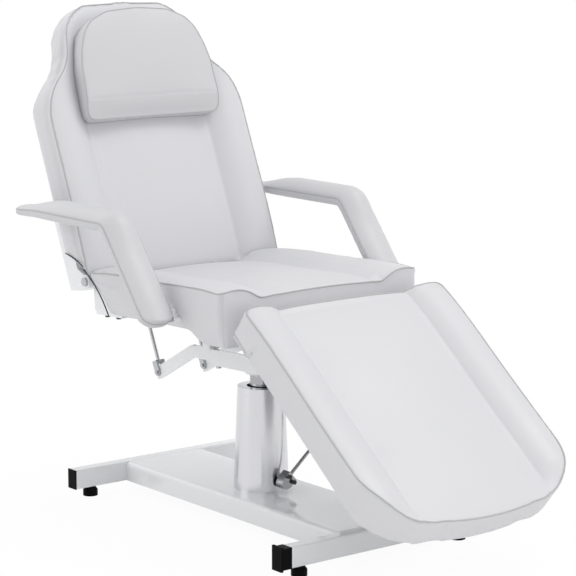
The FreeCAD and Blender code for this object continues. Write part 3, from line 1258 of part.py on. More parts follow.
def leg_cushion():
    """Leg-rest cushion with large round foot corners and a recess for its frame."""
    half = d.cushion_width / 2
    places = even_places(-d.leg_length, 0)
    shape = crowned_bar(places, half, LEG_FLOOR, LEG_TOP, d.leg_crown, d.leg_bolster, d.leg_dip,
                        lambda y: lambda x, z: V(x, y, z))
    low = LEG_FLOOR - d.overrun
    wide = half + d.side_swell
    plan = rounded_plan(wide, 0, -d.leg_length, d.leg_head_corner, d.leg_corner, d.leg_bow, low)
    shape = shape.common(prism(plan, V(0, 0, d.leg_depth + d.leg_crown + d.overrun * 2)))
    reach = LEG_ARM_INNER + d.leg_arm_width + d.recess_gap
    end = -d.leg_arm_length - d.skirt_wall - d.recess_gap
    shape = shape.cut(bar(-reach, end, low, reach, -d.skirt_wall, LEG_CEILING))
    solid("leg_cushion", shape, LEG)


LEG_ARM_INNER = LEG_BRACKET_INNER + d.leg_bracket_wall + d.leg_ear_gap


def leg_frame():
    """Leg arms with their hinge ears, cross tubes and the leg board."""
    low = LEG_ARM_LOW
    high = low + d.leg_arm_height
    start = -d.skirt_wall - d.recess_gap
    end = start - d.leg_arm_length + d.recess_gap
    boss = d.leg_boss
    outline = [(start, high), (end, high), (end, low), (start - d.leg_web_length, low), (0, -boss), (0, boss),
               (start, boss)]
    side_plates("leg_arms", outline, d.leg_arm_width, LEG, LEG_ARM_INNER, [(0, 0, boss)],
                [(0, 0, d.leg_pin_radius + d.running_fit)])
    tube = box_tube("leg_tube_pattern", "X", LEG_ARM_INNER * 2, d.leg_tube_side, d.leg_tube_side,
                    d.frame_tube_wall, LEG, 0, 0, 0, kept=False)
    places = [shifted(-LEG_ARM_INNER, -reach - d.leg_tube_side / 2, high - d.leg_tube_side)
              for reach in (d.leg_upper_tube, d.leg_strut_tube, d.leg_lower_tube)]
    group("leg_cross_tubes", tube, LEG, places)
    board = new_body("leg_board")
    sketch = new_sketch(board, "XY_Plane")
    side = LEG_ARM_INNER + d.leg_arm_width
    rectangle(sketch, -side, end, side, start)
    pad(board, sketch, d.board_wall)
    stand(board, LEG, 0, 0, high)


def leg_hinges():
    """Brackets under the seat's nose tube, and the bolts that the leg arms turn on."""
    pivot = SEAT.inverse().multVec(LEG_PIVOT)
    boss = d.leg_boss
    rear = -d.seat_side_front + d.front_tube_side
    top = d.seat_frame_base
    outline = [(rear, top), (rear, top - d.leg_bracket_depth), (pivot.y, pivot.z - boss),
               (pivot.y, pivot.z + boss), (-d.seat_side_front, top)]
    bolts = []
    side_plates("leg_hinge_brackets", outline, d.leg_bracket_wall, SEAT, LEG_BRACKET_INNER,
                [(pivot.y, pivot.z, boss)], [(pivot.y, pivot.z, d.leg_pin_radius + d.running_fit)])
    for _, sign in SIDES:
        inner = sign * (LEG_BRACKET_INNER - d.bolt_head_wall)
        outer = sign * (LEG_ARM_INNER + d.leg_arm_width + d.seat_gap)
        wide = d.leg_pin_radius * ROUND_HEAD_SHARE
        head = rod(wide, V(inner, 0, 0), V(sign * LEG_BRACKET_INNER, 0, 0))
        nut = rod(wide, V(outer, 0, 0), V(outer + sign * d.bolt_head_wall, 0, 0))
        bolts.append(rod(d.leg_pin_radius, V(inner, 0, 0), V(outer, 0, 0)).fuse([head, nut]).removeSplitter())
    solid("leg_hinge_bolts", Part.makeCompound(bolts), SEAT.multiply(shifted(0, pivot.y, pivot.z)))


LEG_STRUT_FOOT = SEAT.multVec(V(0, -d.leg_strut_seat, -d.leg_strut_drop))
LEG_TUBE_LOW = LEG_ARM_LOW + d.leg_arm_height - d.leg_tube_side
LEG_STRUT_HEAD_IN_LEG = V(0, -d.leg_strut_tube, LEG_TUBE_LOW - d.leg_strut_pin_drop)
LEG_STRUT_HEAD = LEG.multVec(LEG_STRUT_HEAD_IN_LEG)


def leg_strut():
    """One gas strut between the support rails and the leg frame, with its pins."""
    gap = LEG_STRUT_HEAD - LEG_STRUT_FOOT
    rise = math.degrees(math.atan2(gap.z, gap.y)) % FULL_TURN
    lower = turned(0, LEG_STRUT_FOOT.y, LEG_STRUT_FOOT.z, rise - QUARTER_TURN)
    upper = turned(0, LEG_STRUT_HEAD.y, LEG_STRUT_HEAD.z, rise + QUARTER_TURN)
    flipped = turned(0, LEG_STRUT_FOOT.y, LEG_STRUT_FOOT.z, rise + QUARTER_TURN)
    solid("leg_strut_cylinder", strut_body_shape(d.leg_strut_body), flipped)
    rod_length = gap.Length - d.leg_strut_body + d.leg_strut_overlap
    solid("leg_strut_rod", strut_rod_shape(rod_length), upper)
    half = d.rail_spacing / 2 + d.rail_width / 2 + d.strut_cheek_wall
    solid("leg_strut_rear_pin", rod(d.strut_pin_radius, V(-half, 0, 0), V(half, 0, 0)), lower)
    half = d.strut_body_radius + d.strut_cheek_gap + d.strut_cheek_wall * 2
    solid("leg_strut_front_pin", rod(d.strut_pin_radius, V(-half, 0, 0), V(half, 0, 0)), upper)
    offsets, length, end_rise = slot_of(LEG_STRUT_HEAD, LEG_PIVOT, LEG_STRUT_FOOT, d.leg_angle, gap.Length,
                                        rise)
    inverse = LEG.Rotation.inverted()
    offsets = [inverse.multVec(offset) for offset in offsets]
    strut_bracket("leg_strut_bracket", LEG, [0], LEG_STRUT_HEAD_IN_LEG, offsets, tube_low=LEG_TUBE_LOW)
    return gap.Length, rise, length, end_rise


# Armrests and pillow

ARM_TURN = math.radians(d.arm_slope)
ARM_WAY = V(0, -math.cos(ARM_TURN), -math.sin(ARM_TURN))
ARM_OUT = V(0, -math.sin(ARM_TURN), math.cos(ARM_TURN))
ARM_INNER = d.cushion_width / 2 + d.arm_gap
ARM_FOOT = COLUMN.multVec(V(0, -d.arm_foot_reach, d.rail_top + d.arm_foot_rise))
ARM_CORNER = ARM_FOOT - ARM_WAY * ((d.arm_seam - ARM_FOOT.z) / math.sin(ARM_TURN))
ARM_BOLT_LINE = ARM_FOOT - ARM_OUT * float(d.arm_band - d.arm_spacer_radius)
ARM_BOLTS = [SEAT.inverse().multVec(ARM_BOLT_LINE - ARM_WAY * float(reach))
             for reach in (d.arm_bolt_near, d.arm_bolt_far)]


def armrests():
    """One-piece padded armrests: a crowned pad that bends down to the seat's side, with rounded tips."""
    rear = COLUMN.multVec(V(0, d.arm_rear, d.arm_seam))
    tangent = d.arm_bend * math.tan(ARM_TURN / 2)
    before = ARM_CORNER + V(0, tangent, 0)
    after = ARM_CORNER + ARM_WAY * float(tangent)
    centre = before - V(0, 0, d.arm_bend)
    middle = centre + V(0, -math.sin(ARM_TURN / 2), math.cos(ARM_TURN / 2)) * float(d.arm_bend)
    path = Part.Wire([Part.LineSegment(rear, before).toShape(), Part.Arc(before, middle, after).toShape(),
                      Part.LineSegment(after, ARM_FOOT).toShape()])
    half = d.arm_width / 2
    tip = d.arm_tip_round

    def at(x, z):
        return V(x, rear.y, rear.z + z)

    corner = at(-half, -d.arm_band)
    crown = at(0, d.arm_crown)
    section = wire(corner, [at(half, -d.arm_band)], [at(half, 0)], [crown, at(-half, 0)], [corner])
    shape = path.makePipeShell([section], True, True)
    level = rounded_plan(half + d.overrun, rear.y, ARM_FOOT.y - d.arm_width, tip + d.overrun, d.overrun, 0, 0)
    shape = shape.common(prism(level, V(0, 0, d.arm_seam * 2)))
    span = d.arm_rear + d.arm_foot_reach + d.arm_seam
    slope = rounded_plan(half + d.overrun, span, 0, d.overrun, tip + d.overrun, 0, -span)
    block = prism(slope, V(0, 0, span * 2))
    block.Placement = turned(0, ARM_FOOT.y, ARM_FOOT.z, d.arm_slope)
    shape = shape.common(block)
    for side, sign in SIDES:
        copy = shape.copy()
        copy.translate(V(sign * (ARM_INNER + half), 0, 0))
        for place in ARM_BOLTS:
            start = SEAT.multVec(V(sign * (ARM_INNER - d.overrun), place.y, place.z))
            end = start + V(sign * (d.arm_bolt_reach + d.overrun + d.seat_gap), 0, 0)
            copy = copy.cut(rod(d.arm_bolt_diameter / 2 + d.running_fit, start, end))
        solid(f"{side}_armrest", copy)
    spacers = []
    bolts = []
    for _, sign in SIDES:
        for place in ARM_BOLTS:
            start = V(sign * (SEAT_SIDE_INNER + d.seat_side_width), place.y, place.z)
            end = V(sign * ARM_INNER, place.y, place.z)
            tube = rod(d.arm_spacer_radius, start, end)
            over = V(sign * d.overrun, 0, 0)
            spacers.append(tube.cut(rod(d.arm_bolt_diameter / 2 + d.running_fit, start - over, end + over)))
            inner = V(sign * SEAT_SIDE_INNER, place.y, place.z)
            face = inner - V(sign * d.bolt_head_wall, 0, 0)
            head = rod(d.arm_bolt_diameter * HEX_CORNER_SHARE, face, inner)
            shank = rod(d.arm_bolt_diameter / 2, inner, end + V(sign * d.arm_bolt_reach, 0, 0))
            bolts.append(head.fuse(shank).removeSplitter())
    solid("arm_spacers", Part.makeCompound(spacers), SEAT)
    solid("arm_bolts", Part.makeCompound(bolts), SEAT)


def pillow():
    """Head pillow with a flat foot, round top and drawn-in faces, lying against the back cushion."""
    half = d.pillow_width / 2
    foot = BACK_FOOT + d.pillow_foot
    rear = BACK_FRONT + d.back_dip - d.panel_crown
    layers = []
    for inset_share, depth_share in PILLOW_LAYER_SHARES:
        inset = d.pillow_inset * inset_share
        y = rear - d.pillow_depth * depth_share
        wide = half - inset
        high = d.pillow_height - inset * 2

        def at(share, sign=1):
            return V(sign * wide * share[0], y, foot + inset + high * share[1])

        right = [at(share) for share in PILLOW_SHARES]
        left = [at(share, -1) for share in PILLOW_SHARES]
        top = V(0, y, foot + inset + high)
        layers.append(wire(left[0], [right[0]], right[1:3], [right[3]], right[4:6], [top, left[5]],
                           [left[4], left[3]], [left[2]], [left[1], left[0]]))
    bed = [part for part in parts if part.Label == "back_cushion"][0].Shape.copy()
    bed.Placement = shifted(0, -d.seat_gap, 0)
    solid("pillow", Part.makeLoft(layers, True, False).cut(bed), BACK)


foot_tube("rear_foot_tube", d.rear_tube_reach, d.rear_foot_inset)
foot_tube("front_foot_tube", -d.front_tube_reach, d.front_foot_inset)
base_plate()
end_plugs()
levelling_feet()
pump()
column_cover()
pedal()
piston()
piston_head()
support_rails()
seat_frame()
hinge_uprights()
back_pivots()
seat_cushion()
back_cushion()
back_frame()
back_limits = back_struts()
leg_cushion()
leg_frame()
leg_hinges()
leg_limits = leg_strut()
armrests()
pillow()

doc.recompute()
for item in doc.Objects:
    if "Invalid" in item.State or "Error" in item.State:
        raise ValueError(f"{item.Name} is not built: {item.State}")
os.makedirs("parts", exist_ok=True)
for part in parts:
    if part.Shape.isNull() or not part.Shape.isValid():
        raise ValueError(f"{part.Label} has no valid shape")
for part in parts:
    part.Shape.exportStep(f"parts/{part.Label}.step")

print("back pivot", tuple(BACK_PIVOT), "travel", float(d.back_angle))
print("leg pivot", tuple(LEG_PIVOT), "travel", float(d.leg_angle))
print("pedal axis", (0.0, float(d.column_setback), float(PEDAL_AXIS)))
print("back strut foot", tuple(STRUT_FOOT), "at rest", STRUT_RISE, STRUT_LENGTH, "at limit", back_limits)
print("leg strut foot", tuple(LEG_STRUT_FOOT), "rest and limit", leg_limits)
print("pieces", len(parts))
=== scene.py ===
"""Dress the hydraulic massage bed: upholstery, piping, finishes and a studio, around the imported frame."""
import json
import math

import bpy
from bpy.props import FloatProperty, FloatVectorProperty, PointerProperty
from bpy.types import Operator, Panel, PropertyGroup
from mathutils import Matrix, Vector
from mathutils.bvhtree import BVHTree
from mathutils.kdtree import KDTree


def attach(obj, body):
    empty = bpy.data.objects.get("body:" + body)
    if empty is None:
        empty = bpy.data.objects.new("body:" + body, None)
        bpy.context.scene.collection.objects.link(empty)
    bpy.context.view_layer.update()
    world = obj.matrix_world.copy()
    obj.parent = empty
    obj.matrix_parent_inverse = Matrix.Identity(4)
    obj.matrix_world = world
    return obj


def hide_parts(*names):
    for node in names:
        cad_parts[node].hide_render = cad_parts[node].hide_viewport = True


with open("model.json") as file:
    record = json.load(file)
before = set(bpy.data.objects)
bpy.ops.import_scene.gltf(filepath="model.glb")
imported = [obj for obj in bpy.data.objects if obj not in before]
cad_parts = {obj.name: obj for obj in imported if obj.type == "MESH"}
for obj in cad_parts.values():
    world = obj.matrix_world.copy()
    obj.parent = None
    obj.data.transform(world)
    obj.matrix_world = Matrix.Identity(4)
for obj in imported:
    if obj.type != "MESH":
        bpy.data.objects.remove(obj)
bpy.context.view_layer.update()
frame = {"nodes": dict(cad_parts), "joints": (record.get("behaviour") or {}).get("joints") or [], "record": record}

bl_info = {
    "name": "Massage bed dressing",
    "version": (1, 0, 0),
    "blender": (4, 5, 0),
    "location": "3D View > Sidebar > Massage bed",
    "description": "Upholstery, piping, metal finishes and studio for a hydraulic massage bed",
    "category": "Object",
}

MM = 0.001
JOINTS = {joint["name"]: joint for joint in frame["joints"]}
NODES = frame["nodes"]


# Frames of the seat, the backrest and the leg rest

def tilted(origin, degrees):
    """A frame at a point, turned about the axis across the bed."""
    return Matrix.Translation(Vector(origin)) @ Matrix.Rotation(math.radians(degrees), 4, "X")


COLUMN_Y = JOINTS["swivel"]["pos_m"][1]
SEAT_LEVEL = 0.420
SEAT_TILT, BACK_TILT, LEG_TILT = -2.1, 67.0 - 90.0, 38.3
SEAT = tilted((0, COLUMN_Y, SEAT_LEVEL), SEAT_TILT)
BACK = tilted(JOINTS["back_recline"]["pos_m"], BACK_TILT)
LEG = tilted(JOINTS["leg_raise"]["pos_m"], LEG_TILT)


# Settings that a user would change

COLOUR = {"subtype": "COLOR", "size": 3, "min": 0, "max": 1}


class BedUpholstery(PropertyGroup):
    """Sizes and colours of the upholstery."""

    vinyl: FloatVectorProperty(
        name="Vinyl", description="Colour of the cover", default=(0.65, 0.65, 0.67), **COLOUR)
    piping: FloatVectorProperty(
        name="Piping", description="Colour of the piping", default=(0.46, 0.46, 0.46), **COLOUR)
    # Painted shadow: this dark colour goes on thin cords that stand for the shade in the hinge gaps.
    gap_shadow: FloatVectorProperty(
        name="Hinge gap shadow", description="Colour of the painted shadow line in the hinge gap", default=(0.03, 0.03, 0.032),
        **COLOUR)
    piping_radius: FloatProperty(
        name="Piping radius", description="Radius of the sewn piping", unit="LENGTH", default=1.9 * MM)
    voxel: FloatProperty(
        name="Mesh step", description="Step of the cover's mesh", unit="LENGTH", default=8 * MM)
    small_voxel: FloatProperty(
        name="Small mesh step", description="Step of the mesh on small pads", unit="LENGTH", default=5 * MM)
    swell: FloatProperty(
        name="Swell", description="Most that the cover may swell", unit="LENGTH", default=6 * MM)
    pressure: FloatProperty(
        name="Filling", description="Pressure of the filling on the cover", default=4.0)


class BedMetal(PropertyGroup):
    """Colours of the metal and plastic finishes."""

    enamel: FloatVectorProperty(
        name="Enamel", description="Colour of the painted frame", default=(0.83, 0.84, 0.855), **COLOUR)
    chrome: FloatVectorProperty(
        name="Chrome", description="Tint of the polished metal", default=(0.70, 0.70, 0.72), **COLOUR)
    black: FloatVectorProperty(
        name="Black", description="Colour of the plastic caps and feet", default=(0.003, 0.003, 0.0035),
        **COLOUR)


class BedStudio(PropertyGroup):
    """Floor, light and camera."""

    floor: FloatVectorProperty(
        name="Floor", description="Colour of the floor", default=(0.92, 0.92, 0.92), **COLOUR)
    lens: FloatProperty(
        name="Lens", description="Focal length in millimetres", default=146.14)
    azimuth: FloatProperty(
        name="Azimuth", description="Camera's turn round the bed",
        subtype="ANGLE", default=math.radians(-38.248))
    elevation: FloatProperty(
        name="Elevation", description="Camera's height above the level",
        subtype="ANGLE", default=math.radians(9.883))
    place: FloatVectorProperty(
        name="Place", description="Where the camera stands",
        subtype="TRANSLATION", size=3, default=(-3.4428, -4.3857, 1.5586))


# Small tools for modelling

def only(obj):
    """Select one object and make it active."""
    bpy.ops.object.select_all(action="DESELECT")
    obj.select_set(True)
    bpy.context.view_layer.objects.active = obj
    return obj


def new_object(name, data):
    """A new object in the scene, selected and active."""
    obj = bpy.data.objects.new(name, data)
    bpy.context.collection.objects.link(obj)
    return only(obj)


def edit_all(operation, **settings):
    """Run a mesh operator on all of the active object."""
    bpy.ops.object.mode_set(mode="EDIT")
    bpy.ops.mesh.select_all(action="SELECT")
    operation(**settings)
    bpy.ops.object.mode_set(mode="OBJECT")


def apply_modifier(obj, name, kind, **settings):
    """Add a modifier with its settings and apply it."""
    only(obj)
    modifier = obj.modifiers.new(name, kind)
    for key, value in settings.items():
        setattr(modifier, key, value)
    bpy.ops.object.modifier_apply(modifier=name)


def tree_of(obj):
    """A search tree over an object's faces."""
    mesh = obj.data
    return BVHTree.FromPolygons([v.co for v in mesh.vertices], [p.vertices for p in mesh.polygons])


def finish_piece(obj, body, finish_name):
    """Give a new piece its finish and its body."""
    obj.data.materials.clear()
    obj.data.materials.append(MATERIALS[finish_name])
    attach(obj, body)
    return obj


def polyline(points, step):
    """Points at even steps along a closed line."""
    result = []
    for start, end in zip(points, points[1:] + points[:1]):
        count = max(1, round((end - start).length / step))
        result += [start.lerp(end, k / count) for k in range(count)]
    return result


def eased(points, rounds):
    """A closed line with its corners softened."""
    for _ in range(rounds):
        before, after = points[-1:] + points[:-1], points[1:] + points[:1]
        points = [(a + b * 2 + c) / 4 for a, b, c in zip(before, points, after)]
    return points


def tube(name, points, radius, closed=True):
    """A round cord along a line of points, as a mesh."""
    curve = bpy.data.curves.new(name, "CURVE")
    curve.dimensions = "3D"
    curve.bevel_depth = radius
    curve.bevel_resolution = 2
    curve.use_fill_caps = not closed
    spline = curve.splines.new("POLY")
    spline.points.add(len(points) - 1)
    for point, place in zip(spline.points, points):
        point.co = (*place, 1)
    spline.use_cyclic_u = closed
    new_object(name, curve)
    bpy.ops.object.convert(target="MESH")
    bpy.ops.object.shade_smooth()
    return bpy.context.object


# Finishes

FLOAT, VECTOR = "NodeSocketFloat", "NodeSocketVector"
NOISE = "ShaderNodeTexNoise"
RELIEF_HEIGHT = 0.3 * MM
EFFECT_RANGE = (0.3, 0.7)
PEBBLE_HEIGHT, FINE_SHARE = 0.25, 0.35
SMOOTH_ANGLE = math.radians(30)
# The first darkens the pads' vinyl as painted shade; the second darkens the polished chrome's tint.
PAD_PAINTED_SHADE, CHROME_SHADE = 0.91, 0.6
EFFECTS = {}
MATERIALS = {}


def connect(tree, value, socket):
    """Link a socket to another one, or give it a plain value."""
    if isinstance(value, bpy.types.NodeSocket):
        tree.links.new(value, socket)
    else:
        socket.default_value = value


def feed(tree, node, **inputs):
    """Connect some of a node's inputs; _ stands for a blank in their names."""
    for key, value in inputs.items():
        connect(tree, value, node.inputs[key.replace("_", " ")])
    return node


def add_node(tree, kind, **inputs):
    """A new node with some of its inputs connected."""
    return feed(tree, tree.nodes.new(kind), **inputs)


def math_node(tree, operation, *values):
    """The result of a maths node fed by sockets or numbers."""
    node = tree.nodes.new("ShaderNodeMath")
    node.operation = operation
    for socket, value in zip(node.inputs, values):
        connect(tree, value, socket)
    return node.outputs[0]


def ranged(tree, value, source, target):
    """A node that maps one span of values to another."""
    return add_node(tree, "ShaderNodeMapRange", Value=value, From_Min=source[0], From_Max=source[1],
                    To_Min=target[0], To_Max=target[1])


def new_group(name, setting, kind, value, tone):
    """A shader node group and its inputs, a place and a setting; its outputs are a height and a tone."""
    group = bpy.data.node_groups.new(name, "ShaderNodeTree")
    sockets = group.interface
    sockets.new_socket("Vector", in_out="INPUT", socket_type=VECTOR)
    sockets.new_socket(setting, in_out="INPUT", socket_type=kind).default_value = value
    for label in ("Height", tone):
        sockets.new_socket(label, in_out="OUTPUT", socket_type=FLOAT)
    return group, *group.nodes.new("NodeGroupInput").outputs[:2]


def end_group(group, height, tone):
    """Lead a height and a tone out of a group."""
    end = group.nodes.new("NodeGroupOutput")
    connect(group, height, end.inputs[0])
    connect(group, tone, end.inputs[1])
    return group


def grain_group():
    """Fine pebbled grain of a coated cover, with slow waves in it."""
    group, place, scale = new_group("Cover grain", "Pebbles", FLOAT, 900.0, "Shade")
    cells = add_node(group, "ShaderNodeTexVoronoi", Vector=place, Scale=scale, Randomness=0.9)
    cells.feature = "DISTANCE_TO_EDGE"
    fine = add_node(group, NOISE, Vector=place, Scale=260.0, Detail=3.0)
    slow = add_node(group, NOISE, Vector=place, Scale=5.0, Detail=2.0)
    pebbles = math_node(group, "MINIMUM", cells.outputs["Distance"], PEBBLE_HEIGHT)
    height = math_node(group, "ADD", pebbles, math_node(group, "MULTIPLY", fine.outputs[0], FINE_SHARE))
    return end_group(group, height, slow.outputs[0])


def sprayed_group():
    """Faint ripple of sprayed or moulded surfaces, with a trace of dust."""
    group, place, scale = new_group("Sprayed ripple", "Ripple", FLOAT, 350.0, "Dust")
    ripple = add_node(group, NOISE, Vector=place, Scale=scale, Detail=2.0)
    dust = add_node(group, NOISE, Vector=place, Scale=14.0, Detail=6.0)
    return end_group(group, ripple.outputs[0], dust.outputs[0])


def drawn_group():
    """Fine lines left by drawing, turning or sawing, along one axis."""
    group, place, stretch = new_group("Drawn lines", "Stretch", VECTOR, (900.0, 900.0, 12.0), "Tone")
    mapping = add_node(group, "ShaderNodeMapping", Vector=place, Scale=stretch)
    lines = add_node(group, NOISE, Vector=mapping.outputs[0], Scale=1.0, Detail=3.0)
    return end_group(group, lines.outputs[0], lines.outputs[0])


def effect(name):
    """A shared effect, built once."""
    makers = {"grain": grain_group, "sprayed": sprayed_group, "drawn": drawn_group}
    if name not in EFFECTS:
        EFFECTS[name] = makers[name]()
    return EFFECTS[name]


def finish(name, colour, effect_name, roughness, depth, tint, effect_inputs=None, **constants):
    """A material: a colour and a roughness varied by a shared effect, and its relief."""
    material = bpy.data.materials.new(name)
    material.use_nodes = True
    tree = material.node_tree
    place = tree.nodes.new("ShaderNodeTexCoord")
    node = tree.nodes.new("ShaderNodeGroup")
    node.node_tree = effect(effect_name)
    feed(tree, node, Vector=place.outputs["Object"], **(effect_inputs or {}))
    height, tone = node.outputs
    ramp = ranged(tree, tone, EFFECT_RANGE, roughness)
    mix = tree.nodes.new("ShaderNodeMix")
    mix.data_type = "RGBA"
    feed(tree, mix, Factor=tone, A=(*colour, 1), B=(*[c * t for c, t in zip(colour, tint)], 1))
    bump = add_node(tree, "ShaderNodeBump", Strength=depth, Distance=RELIEF_HEIGHT, Height=height)
    feed(tree, tree.nodes["Principled BSDF"], Base_Color=mix.outputs["Result"], Roughness=ramp.outputs[0],
         Normal=bump.outputs[0], **constants)
    return material


def make_finishes():
    """All finishes of the bed: by the record's slot names, and those that only the dressing has."""
    cover = bpy.context.scene.bed_upholstery
    metal = bpy.context.scene.bed_metal
    # Painted shade: the pads get the same white vinyl, darkened to stand for the dimmer light on the armrests and
    # the pillow.
    shaded_pad_vinyl = [PAD_PAINTED_SHADE * c for c in cover.vinyl]
    mirror = [CHROME_SHADE * c for c in metal.chrome]
    vinyl_tint, grey_tint, dusty_tint = (0.975, 0.975, 0.98), (0.85, 0.85, 0.84), (1.5, 1.5, 1.5)
    MATERIALS.update({
        "white_vinyl": finish("White vinyl cover", cover.vinyl, "grain", (0.42, 0.52), 0.35, vinyl_tint),
        # Painted shade: a darker copy of the cover vinyl for the armrests and the pillow.
        "shaded_pad_vinyl": finish("White vinyl with painted shade for the pads", shaded_pad_vinyl, "grain", (0.42, 0.52), 0.35, vinyl_tint),
        # Painted shadow: near-black vinyl for the cords that stand for the shade in the gap at each hinge.
        "gap_shadow": finish("Painted shadow of the hinge gap", cover.gap_shadow, "grain", (0.45, 0.55), 0.3, (0.9, 0.9, 0.9)),
        "piping": finish("Grey vinyl piping", cover.piping, "grain", (0.40, 0.50), 0.3, (0.95, 0.95, 0.95)),
        "white_enamel": finish("White enamel", metal.enamel, "sprayed", (0.05, 0.09), 0.012,
                               (0.985, 0.985, 0.985)),
        "chrome": finish("Polished chrome", mirror, "sprayed", (0.09, 0.14), 0.02, (0.96, 0.96, 0.97),
                         Metallic=1.0),
        "satin_chrome": finish("Satin chrome", metal.chrome, "drawn", (0.20, 0.27), 0.03, (0.95, 0.95, 0.96),
                               {"Stretch": (700.0, 700.0, 5.0)}, Metallic=1.0),
        "black_plastic": finish("Black moulded plastic", metal.black, "sprayed", (0.34, 0.48), 0.25,
                                dusty_tint, {"Ripple": 900.0}, Specular_IOR_Level=0.04),
        "black_rubber": finish("Black rubber", metal.black, "sprayed", (0.55, 0.7), 0.4, (1.6, 1.6, 1.6),
                               {"Ripple": 700.0}, Specular_IOR_Level=0.04),
        "plywood": finish("Board under a dust cloth", (0.52, 0.52, 0.51), "drawn", (0.6, 0.75), 0.4,
                          grey_tint, {"Stretch": (160.0, 5.0, 160.0)}),
        "black_metal": finish("Black enamel", (0.015, 0.015, 0.016), "sprayed", (0.25, 0.4), 0.1, dusty_tint),
        "zinc_steel": finish("Zinc plated steel", (0.55, 0.56, 0.58), "drawn", (0.28, 0.42), 0.15, grey_tint,
                             Metallic=1.0),
        "pump_casting": finish("Pump casting", (0.05, 0.05, 0.055), "sprayed", (0.45, 0.62), 0.5, dusty_tint,
                               {"Ripple": 500.0}),
    })


class BED_OT_finishes(Operator):
    """Give every part of the frame its finish"""

    bl_idname = "bed.finishes"
    bl_label = "Frame finishes"

    def execute(self, context):
        make_finishes()
        slots = {part["node"]: part["material_slot"] for part in frame["record"]["subparts"]}
        for name, node in NODES.items():
            node.data.materials.clear()
            node.data.materials.append(MATERIALS[slots[name]])
            only(node)
            bpy.ops.object.shade_smooth_by_angle(angle=SMOOTH_ANGLE)
        return {"FINISHED"}


# Upholstery: sizes in metres, steps of the cover's mesh, and shares of what they are named for

WELD = 0.01 * MM
FILL_FRAMES = 20
CLOTH = {"quality": 4, "mass": 0.3, "tension_stiffness": 25, "compression_stiffness": 25,
         "shear_stiffness": 12, "bending_stiffness": 4, "use_pressure": True, "vertex_group_mass": "held"}
EDGE_FIRMNESS = 1.5
CORD_LIFT_SHARE = 0.45
CREASE_REACH = 2.5
OUTLINE_STEP, PAD_OUTLINE_STEP = 8 * MM, 6 * MM
EDGE_INSET, EDGE_TRIES = 1.5 * MM, 15
PROBE_HEIGHT = 0.5
SEAM_STEPS, PAD_SEAM_STEPS = 3, 2
EDGE_STEPS, VALLEY_STEPS = 2.2, 4
LINE_STEPS, PLEAT_STEPS = 60, 12
SIDES = (("left", -1), ("right", 1))
HALF_WIDTH = 0.300
SIDE_WALL = 0.302
PANEL_RISE = 6 * MM
# Radius of the thin dark cords that paint the shadow in the hinge gaps.
GAP_SHADOW_RADIUS = 1.7 * MM
HINGE_CENTRE = (0.455, -0.0385)


def cover_of(name, node_name, step):
    """A copy of a cushion's solid with an even mesh, ready to be filled."""
    return even_mesh(NODES[node_name].data.copy(), name, step)


def even_mesh(mesh, name, step):
    """A new object with an even mesh over the shape of the given one."""
    mesh.name = name
    obj = new_object(name, mesh)
    edit_all(bpy.ops.mesh.remove_doubles, threshold=WELD)
    mesh.remesh_voxel_size = step
    bpy.ops.object.voxel_remesh()
    apply_modifier(obj, "Ease", "SMOOTH", factor=0.5, iterations=3)
    return obj


def fill(obj, held, swell):
    """Fill a cover under pressure; held gives for each point how firmly its seams and backing hold it."""
    cover = bpy.context.scene.bed_upholstery
    before = [v.co.copy() for v in obj.data.vertices]
    weights = obj.vertex_groups.new(name="held")
    for vertex in obj.data.vertices:
        weights.add([vertex.index], held(vertex.co, vertex.normal), "REPLACE")
    only(obj)
    modifier = obj.modifiers.new("Cloth", "CLOTH")
    for key, value in CLOTH.items():
        setattr(modifier.settings, key, value)
    modifier.settings.uniform_pressure_force = cover.pressure
    modifier.settings.effector_weights.gravity = 0
    modifier.point_cache.frame_start = 1
    modifier.point_cache.frame_end = FILL_FRAMES
    for number in range(1, FILL_FRAMES + 1):
        bpy.context.scene.frame_set(number)
    bpy.ops.object.modifier_apply(modifier="Cloth")
    bpy.context.scene.frame_set(1)
    for vertex, start in zip(obj.data.vertices, before):
        move = vertex.co - start
        if move.length > swell:
            vertex.co = start + move * (swell / move.length)
    obj.vertex_groups.clear()
    apply_modifier(obj, "Settle", "SMOOTH", factor=0.5, iterations=4)
    apply_modifier(obj, "Round", "SUBSURF", levels=1, render_levels=1)


def near_lines(lines):
    """A function that gives the distance from a point to the nearest of some lines."""
    points = [point for line in lines for point in line]
    edges = []
    start = 0
    for line in lines:
        edges += [(start + k, start + k + 1, start + k) for k in range(len(line) - 1)]
        start += len(line)
    tree = BVHTree.FromPolygons(points, edges)
    return lambda place: tree.find_nearest(place)[3]


def keep_edge(obj, tree, line, reach):
    """Bring the cover near a seam back to the sewn shape, so that its edge stays crisp."""
    distance = near_lines([line])
    for vertex in obj.data.vertices:
        gap = distance(vertex.co)
        if gap < reach:
            share = min(1.0, EDGE_FIRMNESS * (1 - gap / reach))
            vertex.co = vertex.co.lerp(tree.find_nearest(vertex.co)[0], share)


def cord(name, obj, points, radius, body, finish_name, closed=False):
    """A sewn cord laid along a line of points on a cover."""
    laid = tube(name, seam_on(tree_of(obj), points, radius * CORD_LIFT_SHARE), radius, closed)
    return finish_piece(laid, body, finish_name)


def crease(obj, line, width, depth):
    """Draw the cover in along a line of points."""
    distance = near_lines([line])
    moves = []
    for vertex in obj.data.vertices:
        gap = distance(vertex.co)
        if gap < width * CREASE_REACH:
            moves.append((vertex.index, vertex.normal * (-depth * math.exp(-(gap / width) ** 2))))
    for index, move in moves:
        obj.data.vertices[index].co += move


def seam_on(tree, points, lift):
    """Lay a line of points onto a cover and lift it along the cover's normals."""
    laid = []
    for point in points:
        place, normal, _, _ = tree.find_nearest(point)
        laid.append(place + normal * lift)
    return laid


